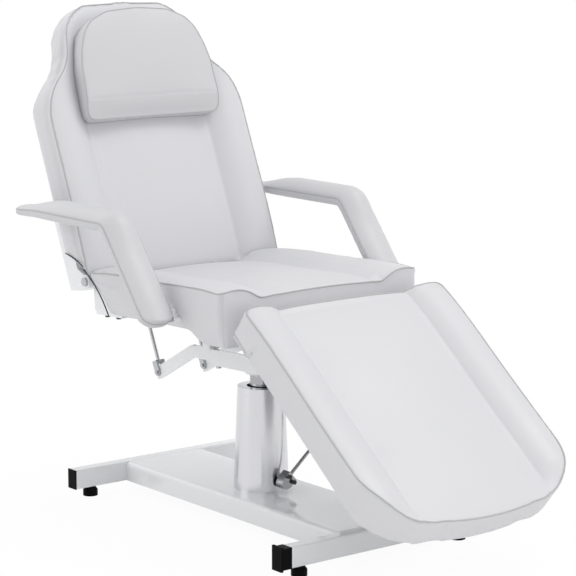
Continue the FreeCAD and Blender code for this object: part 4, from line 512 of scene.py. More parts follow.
def arc(centre, radius, start, end, count):
    """Points of an arc in a plane, in degrees."""
    angles = [math.radians(start + (end - start) * k / count) for k in range(count + 1)]
    return [Vector((centre[0] + radius * math.cos(a), centre[1] + radius * math.sin(a))) for a in angles]


def three_point(a, b, c, count):
    """Points of the arc through three points in a plane, without the last."""
    ax, ay, bx, by, cx, cy = *a, *b, *c
    d = 2 * (ax * (by - cy) + bx * (cy - ay) + cx * (ay - by))
    aa, bb, cc = ax * ax + ay * ay, bx * bx + by * by, cx * cx + cy * cy
    ux = (aa * (by - cy) + bb * (cy - ay) + cc * (ay - by)) / d
    uy = (aa * (cx - bx) + bb * (ax - cx) + cc * (bx - ax)) / d
    start = math.atan2(ay - uy, ax - ux)
    middle = math.atan2(by - uy, bx - ux)
    end = math.atan2(cy - uy, cx - ux)
    sweep = (end - start) % math.tau
    if sweep <= (middle - start) % math.tau:
        sweep -= math.tau
    radius = math.hypot(ax - ux, ay - uy)
    angles = [start + sweep * k / count for k in range(count)]
    return [Vector((ux + radius * math.cos(a), uy + radius * math.sin(a))) for a in angles]


def edge_line(node_name, place, outline, up):
    """The sharp upper edge of a cushion's solid: outline points in its frame, raised to its surface."""
    tree = tree_of(NODES[node_name])
    centre = sum((Vector((*p, 0)) for p in outline), Vector()) / len(outline)
    result = []
    way = place.to_3x3() @ (up(0, 0, -1) - up(0, 0, 0))
    for point in outline:
        inward = Vector((centre.x - point[0], centre.y - point[1])).normalized()
        for attempt in range(1, EDGE_TRIES + 1):
            shift = inward * (EDGE_INSET * attempt)
            spot = place @ up(point[0] + shift.x, point[1] + shift.y, PROBE_HEIGHT)
            hit = tree.ray_cast(spot, way)
            if hit[0] is not None:
                break
        else:
            raise ValueError(f"{node_name}: the edge point {point} misses the cushion")
        depth = (hit[0] - spot).length
        result.append(place @ up(point[0], point[1], PROBE_HEIGHT - depth))
    return result


def upright(x, y, height):
    """A point of the seat's or the leg rest's frame: plan position and height."""
    return Vector((x, y, height))


def forward(x, z, height):
    """A point of the backrest's frame: front-view position and height towards the front."""
    return Vector((x, -height, z))


def plan_outline(half, rear, front, rear_corner, front_corner, bow):
    """Plan of a cushion from its rear edge to its front edge, with round corners and a bowed front."""
    foot = front + bow
    right = arc((half - rear_corner, rear - rear_corner), rear_corner, 90, 0, 8)
    right += arc((half - front_corner, foot + front_corner), front_corner, 0, -90, 14)
    left = [Vector((-p.x, p.y)) for p in reversed(right)]
    if bow:
        return right[:-1] + three_point(right[-1], Vector((0, front)), left[0], 12) + left
    return right + left


def densified(outline, step):
    """A closed plane outline at even steps."""
    return [p.to_2d() for p in polyline([p.to_3d() for p in outline], step)]


def ramp_up(value, low, high):
    """A smooth step from nought to one."""
    share = min(1.0, max(0.0, (value - low) / (high - low)))
    return share * share * (3 - 2 * share)


def face_height(across, face):
    """Height over the piping of a low crowned panel between two bolsters; face is (valley, dip, crown)."""
    valley, dip, crown = face
    across = min(abs(across), HALF_WIDTH)
    if across < valley:
        return PANEL_RISE * (1 - (across / valley) ** 2) - dip
    share = (across - valley) / (HALF_WIDTH - valley)
    return crown * 4 * share * (1 - share) - dip * (1 - share) * (1 - 2 * share)


def reshaped(across, sewn, solid):
    """How far the sewn face stands over the solid's."""
    return face_height(across, sewn) - face_height(across, solid)


def upholster(name, node_name, body, place, outline, up, valleys, backed, folds, shape):
    """A filled cushion with piping along its upper edge.

    The seams in valleys and the points that backed names are held while it is filled, folds are drawn in,
    and shape then moves each point of the cover in the cushion's frame.
    """
    cover = bpy.context.scene.bed_upholstery
    step = cover.voxel
    edge = eased(edge_line(node_name, place, densified(outline, OUTLINE_STEP), up), 2)
    obj = cover_of(name, node_name, step)
    distance = near_lines([edge + edge[:1]] + valleys)
    inverse = place.inverted()

    def held(point, normal):
        if backed(inverse @ point):
            return 1.0
        return max(0.0, 1.0 - distance(point) / (SEAM_STEPS * step))

    fill(obj, held, cover.swell)
    solid = tree_of(NODES[node_name])
    keep_edge(obj, solid, edge + edge[:1], EDGE_STEPS * step)
    for line in valleys:
        keep_edge(obj, solid, line, VALLEY_STEPS * step)
    for line, width, depth in folds:
        crease(obj, line, width, depth)
    for vertex in obj.data.vertices:
        vertex.co = place @ shape(inverse @ vertex.co)
    edge = [place @ shape(inverse @ point) for point in edge]
    cover_done(obj, body, node_name)
    cord(f"{name}_piping", obj, edge, cover.piping_radius, body, "piping", closed=True)
    return obj


def cover_done(obj, body, node_name, finish_name="white_vinyl"):
    """Finish a cover: smooth shading, vinyl, its body, the solid that it stands for and its filling."""
    only(obj)
    bpy.ops.object.shade_smooth()
    finish_piece(obj, body, finish_name)
    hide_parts(node_name)


def straight(place, start, end, count=LINE_STEPS):
    """Points of a straight line in a frame."""
    return [place @ Vector(start).lerp(Vector(end), k / count) for k in range(count + 1)]


def valley_seams(place, face, start, end):
    """The two seams along the valleys of a face."""
    return [straight(place, (x, *start), (x, *end)) for x in (-face[0], face[0])]


def pleats(place, x, table):
    """Pleats of a side wall; the table gives where each starts and ends, its width and its depth."""
    return [(straight(place, (x, *start), (x, *end), PLEAT_STEPS), width, depth)
            for start, end, width, depth in table]


def hinge_gap_shadow(name, body, x, radius, start, end, count):
    """Painted shadow of the hinge gap: a thin dark cord on the edge of a cushion's round cut-out."""
    line = [SEAT @ Vector((x, p.x, p.y)) for p in arc(HINGE_CENTRE, radius, start, end, count)]
    finish_piece(tube(name, line, GAP_SHADOW_RADIUS, False), body, "gap_shadow")


# Seat cushion, with places in the seat's frame

SEAT_REAR, SEAT_FRONT, SEAT_CORNER = 0.296, -0.247, 0.022
SEAT_SOLID_FACE, SEAT_SEWN_FACE = (0.188, 0.016, 0.009), (0.160, 0.015, 0.009)
SEAT_VALLEY = ((-0.240, 0.183), (0.290, 0.183))
SEAT_PLEATS = (((0.284, 0.191), (0.225, 0.207), 4 * MM, 2 * MM),
               ((0.268, 0.178), (0.165, 0.172), 5 * MM, 2.5 * MM),
               ((0.255, 0.160), (0.190, 0.150), 5 * MM, 1.5 * MM))
SEAT_TOP_FADE, SEAT_FRONT_FADE = (0.150, 0.165), (-0.245, -0.215)
SEAT_REAR_FADE, SEAT_WALL_FADE = (0.240, 0.294), (0.100, 0.175)
SEAT_REAR_PUSH = 6 * MM
SEAT_BOARD_TOP, SEAT_BOARD_HALF, SEAT_BOARD_FRONT, SEAT_HINGE_FACE = 0.170, 0.270, -0.235, 0.285
CORNER_SHARE, CORNER_Y, CORNER_TOP, CORNER_FOOT, CORNER_POINTS = 0.985, -0.242, 0.185, 0.070, 20
CORNER_CREASE = (7 * MM, 4 * MM)
CORNER_SEAM_X, CORNER_SEAM_TOP, CORNER_SEAM_FOOT = 0.2945, (-0.2415, 0.192), (-0.2415, 0.068)
CORNER_SEAM_RADIUS, CORNER_SEAM_POINTS = 1.2 * MM, 24
# Painted shadow cord along each hinge gap of the seat: its place across and its arc.
SEAT_GAP_SHADOW_SHARE, SEAT_GAP_SHADOW_ARC = 1.022, (0.2725, 119, 151, 30)
UPRIGHT_BOLT_X, UPRIGHT_BOLT_PLACES, UPRIGHT_FOOT = 0.243, (0.259, 0.308), 0.0795
BOLT_HEAD_RADIUS, BOLT_HEAD_DEPTH, BOLT_HEAD_BEVEL = 7 * MM, 6 * MM, 1 * MM


class BED_OT_seat(Operator):
    """Seat cushion with its bolsters, apron and piping"""

    bl_idname = "bed.seat"
    bl_label = "Seat cushion"

    def execute(self, context):
        outline = plan_outline(HALF_WIDTH, SEAT_REAR, SEAT_FRONT, SEAT_CORNER, SEAT_CORNER, 0)
        valleys = valley_seams(SEAT, SEAT_SOLID_FACE, *SEAT_VALLEY)
        folds = []
        for x in (-SIDE_WALL, SIDE_WALL):
            folds += pleats(SEAT, x, SEAT_PLEATS)
            top, foot = [(x * CORNER_SHARE, CORNER_Y, z) for z in (CORNER_TOP, CORNER_FOOT)]
            folds.append((straight(SEAT, top, foot, CORNER_POINTS), *CORNER_CREASE))

        def shape(p):
            top = ramp_up(p.z, *SEAT_TOP_FADE) * ramp_up(p.y, *SEAT_FRONT_FADE)
            rear = ramp_up(p.y, *SEAT_REAR_FADE) * ramp_up(p.z, *SEAT_WALL_FADE)
            rise = reshaped(p.x, SEAT_SEWN_FACE, SEAT_SOLID_FACE)
            return p + Vector((0, SEAT_REAR_PUSH * rear, rise * top))

        def backed(p):
            over_board = p.z < SEAT_BOARD_TOP and abs(p.x) < SEAT_BOARD_HALF and p.y > SEAT_BOARD_FRONT
            return over_board or p.y > SEAT_HINGE_FACE

        obj = upholster("seat_upholstery", "seat_cushion", "seat", SEAT, outline, upright, valleys, backed,
                        folds, shape)
        for side, sign in SIDES:
            x = sign * CORNER_SEAM_X
            seam = straight(SEAT, (x, *CORNER_SEAM_TOP), (x, *CORNER_SEAM_FOOT), CORNER_SEAM_POINTS)
            cord(f"{side}_corner_seam", obj, seam, CORNER_SEAM_RADIUS, "seat", "white_vinyl")
            # Painted shadow: a dark cord along the gap between the cushion and the hinge upright.
            hinge_gap_shadow(f"{side}_seat_gap_shadow", "seat", x * SEAT_GAP_SHADOW_SHARE, *SEAT_GAP_SHADOW_ARC)
            self.bolt_heads(f"{side}_upright_bolts", sign * UPRIGHT_BOLT_X)
        return {"FINISHED"}

    def bolt_heads(self, name, x):
        """Two bevelled hexagon heads under the foot of a hinge upright."""
        heads = []
        for y in UPRIGHT_BOLT_PLACES:
            bpy.ops.object.select_all(action="DESELECT")
            bpy.ops.mesh.primitive_cylinder_add(vertices=6, radius=BOLT_HEAD_RADIUS, depth=BOLT_HEAD_DEPTH)
            head = bpy.context.object
            apply_modifier(head, "Bevel", "BEVEL", width=BOLT_HEAD_BEVEL, segments=2)
            head.data.transform(SEAT @ Matrix.Translation((x, y, UPRIGHT_FOOT)))
            heads.append(head)
        only(heads[0])
        heads[1].select_set(True)
        bpy.ops.object.join()
        heads[0].name = name
        finish_piece(heads[0], "seat", "black_metal")


# Back cushion, with places in the backrest's frame

BACK_FOOT, BACK_TOP = 0.012, 0.714
SHOULDER_SHARES = ((1.0, 0.555), (0.955, 0.655), (0.79, 0.745), (0.71, 0.80), (0.66, 0.868), (0.58, 0.945),
                   (0.38, 0.996))
BACK_SOLID_FACE, BACK_SEWN_FACE = (0.160, 0.016, 0.008), (0.186, 0.019, 0.008)
BACK_VALLEY = ((-0.018, 0.020), (-0.018, 0.600))
RIM_CREASE, HEM_CREASE = (-0.014, 10 * MM, 7 * MM), (0.046, 4 * MM, 1.5 * MM)
BACK_PLEATS = (((0.040, 0.088), (-0.024, 0.092), 4 * MM, 2 * MM),
               ((0.046, 0.108), (-0.010, 0.120), 5 * MM, 1.5 * MM))
BACK_FACE_FADE, BACK_FOOT_FADE, BACK_HEAD_FADE = (0.0, 0.010), (0.005, 0.030), (-0.600, -0.470)
BACK_LEVEL_FADE, BACK_RAISE_FADE, BACK_DROP_FADE = (0.600, 0.690), (0.600, 0.710), (0.012, 0.080)
BACK_RAISE, BACK_DROP = 8 * MM, 16 * MM
WALL_BULGE, WALL_MIDDLE, WALL_REACH, WALL_FADE, WALL_CENTRE_Z = 4 * MM, 0.030, 0.020, (0.120, 0.200), 0.300
BACK_BOARD_FACE, BACK_BOARD_HALF, BACK_BOARD_TOP = 0.010, 0.292, 0.480
# Painted shadow cord along each hinge gap of the backrest: its place across and its arc.
BACK_GAP_SHADOW_X, BACK_GAP_SHADOW_ARC = 0.301, (0.278, 101, 118, 24)


def back_outline():
    """Front view of the backrest: straight sides, curved shoulders and a bowed top."""
    right = [Vector((HALF_WIDTH * x, BACK_FOOT + (BACK_TOP - BACK_FOOT) * z)) for x, z in SHOULDER_SHARES]
    half = [Vector((HALF_WIDTH, BACK_FOOT))]
    half += three_point(*right[0:3], 10) + three_point(*right[2:5], 8) + three_point(*right[4:7], 10)
    half.append(right[6])
    left = [Vector((-p.x, p.y)) for p in reversed(half)]
    top = three_point(right[6], Vector((0, BACK_TOP)), left[0], 12)
    return half[:-1] + top + left


class BED_OT_back(Operator):
    """Back cushion with its shoulders, bolsters and piping"""

    bl_idname = "bed.back"
    bl_label = "Back cushion"

    def execute(self, context):
        valleys = valley_seams(BACK, BACK_SOLID_FACE, *BACK_VALLEY)
        folds = []
        rim = densified(back_outline(), OUTLINE_STEP)
        for y, width, depth in (RIM_CREASE, HEM_CREASE):
            line = [BACK @ Vector((p.x, y, p.y)) for p in rim]
            folds.append((line + line[:1], width, depth))
        for x in (-SIDE_WALL, SIDE_WALL):
            folds += pleats(BACK, x, BACK_PLEATS)

        def shape(p):
            face = ramp_up(-p.y, *BACK_FACE_FADE)
            panel = face * ramp_up(p.z, *BACK_FOOT_FADE) * ramp_up(-p.z, *BACK_HEAD_FADE)
            rise = reshaped(p.x, BACK_SEWN_FACE, BACK_SOLID_FACE) * panel
            level = face_height(p.x, BACK_SOLID_FACE) * ramp_up(p.z, *BACK_LEVEL_FADE) * face
            wall = math.exp(-((p.y - WALL_MIDDLE) / WALL_REACH) ** 2) * ramp_up(p.z, *WALL_FADE)
            out = Vector((p.x, 0, p.z - WALL_CENTRE_Z)).normalized() * (WALL_BULGE * wall)
            raised = BACK_RAISE * ramp_up(p.z, *BACK_RAISE_FADE)
            dropped = BACK_DROP * (1 - ramp_up(p.z, *BACK_DROP_FADE))
            return p + Vector((0, level - rise, raised - dropped)) + out

        def backed(p):
            return p.y > BACK_BOARD_FACE and abs(p.x) < BACK_BOARD_HALF and p.z < BACK_BOARD_TOP

        upholster("back_upholstery", "back_cushion", "backrest", BACK, back_outline(), forward, valleys,
                  backed, folds, shape)
        for side, sign in SIDES:
            # Painted shadow: a dark cord along the gap between the cushion and the hinge upright.
            hinge_gap_shadow(f"{side}_back_gap_shadow", "backrest", sign * BACK_GAP_SHADOW_X, *BACK_GAP_SHADOW_ARC)
        return {"FINISHED"}


# Leg-rest cushion, with places in the leg rest's frame

LEG_REAR, LEG_FRONT, LEG_REAR_CORNER, LEG_FRONT_CORNER, LEG_BOW = 0.0, -0.667, 0.024, 0.165, 0.012
LEG_SOLID_FACE, LEG_SEWN_FACE = (0.190, 0.014, 0.007), (0.198, 0.017, 0.007)
LEG_VALLEY = ((-0.660, 0.096), (-0.005, 0.096))
LEG_WALL = 0.301
LEG_PLEATS = (((-0.004, 0.034), (-0.070, 0.030), 3.5 * MM, 3 * MM),
              ((-0.076, 0.022), (-0.090, 0.075), 5 * MM, 4 * MM))
LEG_TOP_FADE, LEG_FOOT_FADE = (0.075, 0.090), (-0.660, -0.600)
LEG_REAR_FADE, LEG_LEVEL_FADE = (0.0, 0.020), (0.560, 0.655)
LEG_FOOT_DROP = 6 * MM
LEG_BOARD_TOP, LEG_BOARD_HALF, LEG_BOARD_FRONT, LEG_BOARD_REAR = 0.070, 0.250, -0.560, -0.010
GUSSET_SEAM = (((-0.006, 0.020), (-0.072, 0.018), 14), ((-0.078, 0.026), (-0.086, 0.052), 8))
GUSSET_STITCH = (((-0.004, 0.033), (-0.068, 0.031), 14),)
GUSSET_SEAM_RADIUS, GUSSET_STITCH_RADIUS = 1.8 * MM, 0.9 * MM


class BED_OT_leg(Operator):
    """Leg-rest cushion with its bolsters, round foot and piping"""

    bl_idname = "bed.leg"
    bl_label = "Leg-rest cushion"

    def execute(self, context):
        outline = plan_outline(HALF_WIDTH, LEG_REAR, LEG_FRONT, LEG_REAR_CORNER, LEG_FRONT_CORNER, LEG_BOW)
        valleys = valley_seams(LEG, LEG_SOLID_FACE, *LEG_VALLEY)
        folds = pleats(LEG, -LEG_WALL, LEG_PLEATS) + pleats(LEG, LEG_WALL, LEG_PLEATS)

        def shape(p):
            run = ramp_up(p.y, *LEG_FOOT_FADE) * ramp_up(-p.y, *LEG_REAR_FADE)
            rise = reshaped(p.x, LEG_SEWN_FACE, LEG_SOLID_FACE) * run
            level = (-LEG_FOOT_DROP - face_height(p.x, LEG_SOLID_FACE)) * ramp_up(-p.y, *LEG_LEVEL_FADE)
            return p + Vector((0, 0, (rise + level) * ramp_up(p.z, *LEG_TOP_FADE)))

        def backed(p):
            over_board = abs(p.x) < LEG_BOARD_HALF and LEG_BOARD_FRONT < p.y < LEG_BOARD_REAR
            return over_board and p.z < LEG_BOARD_TOP

        obj = upholster("leg_upholstery", "leg_cushion", "leg_rest", LEG, outline, upright, valleys, backed,
                        folds, shape)
        for side, sign in SIDES:
            x = sign * SIDE_WALL
            for part, runs, radius, vinyl in (("seam", GUSSET_SEAM, GUSSET_SEAM_RADIUS, "white_vinyl"),
                                              ("stitch", GUSSET_STITCH, GUSSET_STITCH_RADIUS, "piping")):
                line = [p for start, end, count in runs for p in straight(LEG, (x, *start), (x, *end), count)]
                cord(f"{side}_gusset_{part}", obj, line, radius, "leg_rest", vinyl)
        return {"FINISHED"}


# Armrests: the seam runs level from the rear, round a bend and down a slope; distances go along it

ARM_CORNER_Y, ARM_REAR_Y, ARM_SEAM_HEIGHT = COLUMN_Y + 0.0882, COLUMN_Y + 0.490, 0.760
ARM_SLOPE, ARM_BEND, ARM_SLOPE_LENGTH = math.radians(51), 0.034, 0.2831
ARM_HALF, ARM_INNER, ARM_TIP_RADIUS = 0.0455, 0.318, 0.038
BEND_STEPS, SPINE_MARKS, SPINE_LOOK = 10, 200, 0.01
TIP_FADE, CROWN_FADE, SLOPE_FADE = (0.0, 0.150), (0.060, 0.200), (-0.01, 0.11)
CROWN_SHARE, TIP_TOP_SHARE, TIP_FOOT_SHARE, TIP_DROP = 0.60, 0.62, 0.18, 6 * MM
ARM_SWELL_SHARE, ARM_PIPING_SHARE = 0.6, 0.7
GATHERS, GATHER_START, GATHER_TURN, GATHER_POINTS = 5, 20, 22, 7
GATHER_ROOT, GATHER_NEAR, GATHER_STEP = (12 * MM, -4 * MM), 4 * MM, 3 * MM
ARM_SEAM_CREASE, GATHER_CREASE = (3 * MM, 1 * MM), (2.5 * MM, 1.6 * MM)


class BED_OT_armrests(Operator):
    """Padded armrests with piping along their seams"""

    bl_idname = "bed.armrests"
    bl_label = "Armrests"

    def execute(self, context):
        cover = context.scene.bed_upholstery
        spine = self.spine()
        length = sum((b - a).length for a, b in zip(spine, spine[1:]))

        def along(distance):
            for a, b in zip(spine, spine[1:]):
                step = (b - a).length
                if distance <= step:
                    return a.lerp(b, distance / step)
                distance -= step
            return spine[-1]

        marks = KDTree(SPINE_MARKS)
        for k in range(SPINE_MARKS):
            marks.insert(along(length * k / (SPINE_MARKS - 1)), k)
        marks.balance()

        def fuller(p):
            """A point of the cover with a fuller crown up to the bend and a wedge at the rear tip."""
            spot, k, _ = marks.find((0, p.y, p.z))
            reach = length * k / (SPINE_MARKS - 1)
            near = along(max(0.0, reach - SPINE_LOOK))
            far = along(min(length, reach + SPINE_LOOK))
            up = Vector((0, near.z - far.z, far.y - near.y)).normalized()
            up = up if up.z > 0 else -up
            rise = (p - spot).dot(up)
            tip = 1 - ramp_up(reach, *TIP_FADE)
            sloping = ramp_up(reach - (length - ARM_SLOPE_LENGTH), *SLOPE_FADE)
            crown = CROWN_SHARE * ramp_up(reach, *CROWN_FADE) * (1 - sloping)
            change = crown - TIP_TOP_SHARE * tip if rise > 0 else -TIP_FOOT_SHARE * tip
            return p + up * (rise * change - TIP_DROP * tip * tip)

        plan = arc((ARM_HALF - ARM_TIP_RADIUS, ARM_TIP_RADIUS), ARM_TIP_RADIUS, 0, -90, 8)[::-1]
        plan += arc((ARM_HALF - ARM_TIP_RADIUS, length - ARM_TIP_RADIUS), ARM_TIP_RADIUS, 0, 90, 8)
        plan = densified(plan + [Vector((-p.x, p.y)) for p in reversed(plan)], PAD_OUTLINE_STEP)
        hold, swell = PAD_SEAM_STEPS * cover.small_voxel, cover.swell * ARM_SWELL_SHARE
        for side, sign in SIDES:
            middle = sign * (ARM_INNER + ARM_HALF)
            edge = [along(p.y) + Vector((middle + p.x, 0, 0)) for p in plan]
            node_name = f"{side}_armrest"
            obj = cover_of(f"{side}_arm_upholstery", node_name, cover.small_voxel)
            distance = near_lines([edge + edge[:1]])
            fill(obj, lambda point, normal: max(0.0, 1.0 - distance(point) / hold), swell)
            crease(obj, edge + edge[:1], *ARM_SEAM_CREASE)
            self.gather(obj, sign * (ARM_INNER + 2 * ARM_HALF))
            for vertex in obj.data.vertices:
                vertex.co = fuller(vertex.co)
            # The armrest's vinyl is darkened as painted shade.
            cover_done(obj, "seat", node_name, "shaded_pad_vinyl")
            radius = cover.piping_radius * ARM_PIPING_SHARE
            cord(f"{side}_arm_piping", obj, [fuller(p) for p in edge], radius, "seat", "piping", closed=True)
        return {"FINISHED"}

    def spine(self):
        """Points of the seam in the middle of an armrest, from its rear tip to its foot."""
        tangent = ARM_BEND * math.tan(ARM_SLOPE / 2)
        corner = Vector((0, ARM_CORNER_Y, ARM_SEAM_HEIGHT))
        centre = corner + Vector((0, tangent, -ARM_BEND))
        points = [Vector((0, ARM_REAR_Y, ARM_SEAM_HEIGHT)), corner + Vector((0, tangent, 0))]
        for k in range(1, BEND_STEPS + 1):
            turn = ARM_SLOPE * k / BEND_STEPS
            points.append(centre + Vector((0, -math.sin(turn), math.cos(turn))) * ARM_BEND)
        points.append(corner + Vector((0, -math.cos(ARM_SLOPE), -math.sin(ARM_SLOPE))) * ARM_SLOPE_LENGTH)
        return points

    def gather(self, obj, x):
        """Draw the cover into a fan of small gathers at the outer side of the bend."""
        root = Vector((x, ARM_CORNER_Y + GATHER_ROOT[0], ARM_SEAM_HEIGHT + GATHER_ROOT[1]))
        for k in range(GATHERS):
            lean = math.radians(GATHER_START + GATHER_TURN * k)
            way = Vector((0, math.cos(lean), -math.sin(lean)))
            ray = [root + way * (GATHER_NEAR + GATHER_STEP * m) for m in range(GATHER_POINTS)]
            crease(obj, ray, *GATHER_CREASE)


# Pillow, with places in the backrest's frame

PILLOW_HALF_OUTLINE = (
    (0.0, 0.400), (0.186, 0.400), (0.199, 0.403), (0.204, 0.416), (0.204, 0.440), (0.201, 0.500),
    (0.200, 0.535), (0.190, 0.580), (0.172, 0.625), (0.146, 0.653), (0.095, 0.675), (0.0, 0.682))
PILLOW_DEPTHS = ((0.400, 0.054), (0.448, 0.071), (0.540, 0.077), (0.690, 0.086))
PILLOW_MIDDLE, PILLOW_REACH = Vector((0, 0.520)), 0.2
PILLOW_FOOT, PILLOW_FOOT_FADE = 0.400, 0.046
PILLOW_GAP, PILLOW_WALL_SWELL, PILLOW_PROBE = 2 * MM, 4 * MM, 0.3
PILLOW_CROWN, CROWN_POWER, CROWN_EASE = 10 * MM, 3, 0.6
REAR_SHARES, REAR_INSET_SHARE = (0.25, 0.5, 0.75, 0.92, 1.0), 0.985
FACE_SHARES = (0.97, 0.93, 0.88, 0.82, 0.74, 0.64, 0.52, 0.40, 0.28, 0.14)
PILLOW_WALL_ROWS = 8
PILLOW_FOLD_HALF, PILLOW_FOLD_Y, PILLOW_FOLD_Z = 0.195, -0.100, 0.443
PILLOW_FOLD_CREASE = (4 * MM, 0.7 * MM)
PILLOW_PIPING_SHARE, PILLOW_BACKED_SHARE = 0.8, 0.7


class BED_OT_pillow(Operator):
    """Head pillow with piping round both faces"""

    bl_idname = "bed.pillow"
    bl_label = "Pillow"

    def execute(self, context):
        cover = context.scene.bed_upholstery
        sewn, face, rear = self.sewn_shape()
        obj = even_mesh(sewn.data.copy(), "pillow_upholstery", cover.small_voxel)
        tree = tree_of(sewn)
        bpy.data.objects.remove(sewn)
        distance = near_lines([face + face[:1], rear + rear[:1]])
        inverse = BACK.inverted()
        reach = SEAM_STEPS * cover.small_voxel

        def held(point, normal):
            backed = (inverse.to_3x3() @ normal).y > PILLOW_BACKED_SHARE
            return 1.0 if backed else max(0.0, 1.0 - distance(point) / reach)

        fill(obj, held, cover.swell)
        for line in (face, rear):
            keep_edge(obj, tree, line + line[:1], reach)
        ends = [(x, PILLOW_FOLD_Y, PILLOW_FOLD_Z) for x in (-PILLOW_FOLD_HALF, PILLOW_FOLD_HALF)]
        fold = straight(BACK, *ends)
        crease(obj, seam_on(tree_of(obj), fold, 0), *PILLOW_FOLD_CREASE)
        # The pillow's vinyl is darkened as painted shade.
        cover_done(obj, "backrest", "pillow", "shaded_pad_vinyl")
        for side, line in (("front", face), ("rear", rear)):
            radius = cover.piping_radius * PILLOW_PIPING_SHARE
            cord(f"pillow_{side}_piping", obj, line, radius, "backrest", "piping", closed=True)
        return {"FINISHED"}

    def sewn_shape(self):
        """The pillow as sewn, a box with a round top and a leaning face, and the lines of its two seams."""
        ring = [Vector(p) for p in PILLOW_HALF_OUTLINE]
        ring += [Vector((-x, z)) for x, z in reversed(PILLOW_HALF_OUTLINE[1:-1])]
        ring = eased([p.to_3d() for p in densified(ring, PAD_OUTLINE_STEP)], 3)
        ring = densified([p.to_2d() for p in ring], PAD_OUTLINE_STEP)
        rows = self.rows(ring)
        places = [[BACK @ Vector((p.x, -depth, p.y)) for p, depth in row] for row in rows]
        count, last = len(ring), len(rows) - 1
        faces = []
        for row in range(last):
            for k in range(count):
                here, beside = row * count + k, row * count + (k + 1) % count
                faces.append((here, beside, beside + count, here + count))
        faces.append(tuple(range(count - 1, -1, -1)))
        faces.append(tuple(range(last * count, (last + 1) * count)))
        mesh = bpy.data.meshes.new("pillow_sewn")
        mesh.from_pydata([place for row in places for place in row], [], faces)
        obj = new_object("pillow_sewn", mesh)
        edit_all(bpy.ops.mesh.normals_make_consistent, inside=False)
        return obj, places[-1 - len(FACE_SHARES)], places[len(REAR_SHARES) - 1]

    def rows(self, ring):
        """Rings of (place, depth) from the middle of the rear, round the wall, to the middle of the face."""
        bed = tree_of(bpy.data.objects["back_upholstery"])
        way = BACK.to_3x3() @ Vector((0, 1, 0))

        def front(p):
            for (low, near), (high, far) in zip(PILLOW_DEPTHS, PILLOW_DEPTHS[1:]):
                if p.y <= high or high == PILLOW_DEPTHS[-1][0]:
                    return near + (far - near) * (p.y - low) / (high - low)

        def behind(p):
            hit = bed.ray_cast(BACK @ Vector((p.x, -PILLOW_PROBE, p.y)), way)
            if hit[0] is None:
                raise ValueError("the pillow reaches past the back cushion")
            return PILLOW_GAP - (BACK.inverted() @ hit[0]).y

        rows = []
        for share in REAR_SHARES:
            inner = [PILLOW_MIDDLE.lerp(q, share * REAR_INSET_SHARE) for q in ring]
            rows.append([(p, behind(p)) for p in inner])
        rear_row = rows[-1]
        face_row = [(q, front(q)) for q in ring]
        for k in range(1, PILLOW_WALL_ROWS):
            share = k / PILLOW_WALL_ROWS
            swell = 1 + PILLOW_WALL_SWELL * math.sin(math.pi * share) / PILLOW_REACH
            rows.append([(PILLOW_MIDDLE.lerp(p.lerp(q, share), swell), low + (high - low) * share)
                         for (p, low), (q, high) in zip(rear_row, face_row)])
        rows.append(face_row)
        for share in FACE_SHARES:
            crown = PILLOW_CROWN * (1 - share ** CROWN_POWER) ** CROWN_EASE
            row = []
            for q in ring:
                p = PILLOW_MIDDLE.lerp(q, share)
                row.append((p, front(p) + crown * min(1.0, (p.y - PILLOW_FOOT) / PILLOW_FOOT_FADE)))
            rows.append(row)
        return rows


# Studio

FLOOR_SIZE = 40
FLOOR_FADE, FLOOR_GLOW = (0.6, 1.2), (0.95, 1.0)
SKY_STRENGTH = 0.75
SENSOR_WIDTH, FAR_CLIP = 36, 100
LAMPS = (("Key", (3.0, -2.6, 7.4), 215), ("Fill", (-1.0, -7.5, 1.2), 56),
         ("Side", (-5.5, 2.6, 1.8), 46), ("Back", (-1.5, 4.5, 4.5), 50))
LAMP_SIZE, LAMP_AIM = 4.0, Vector((0, 0, 0.6))


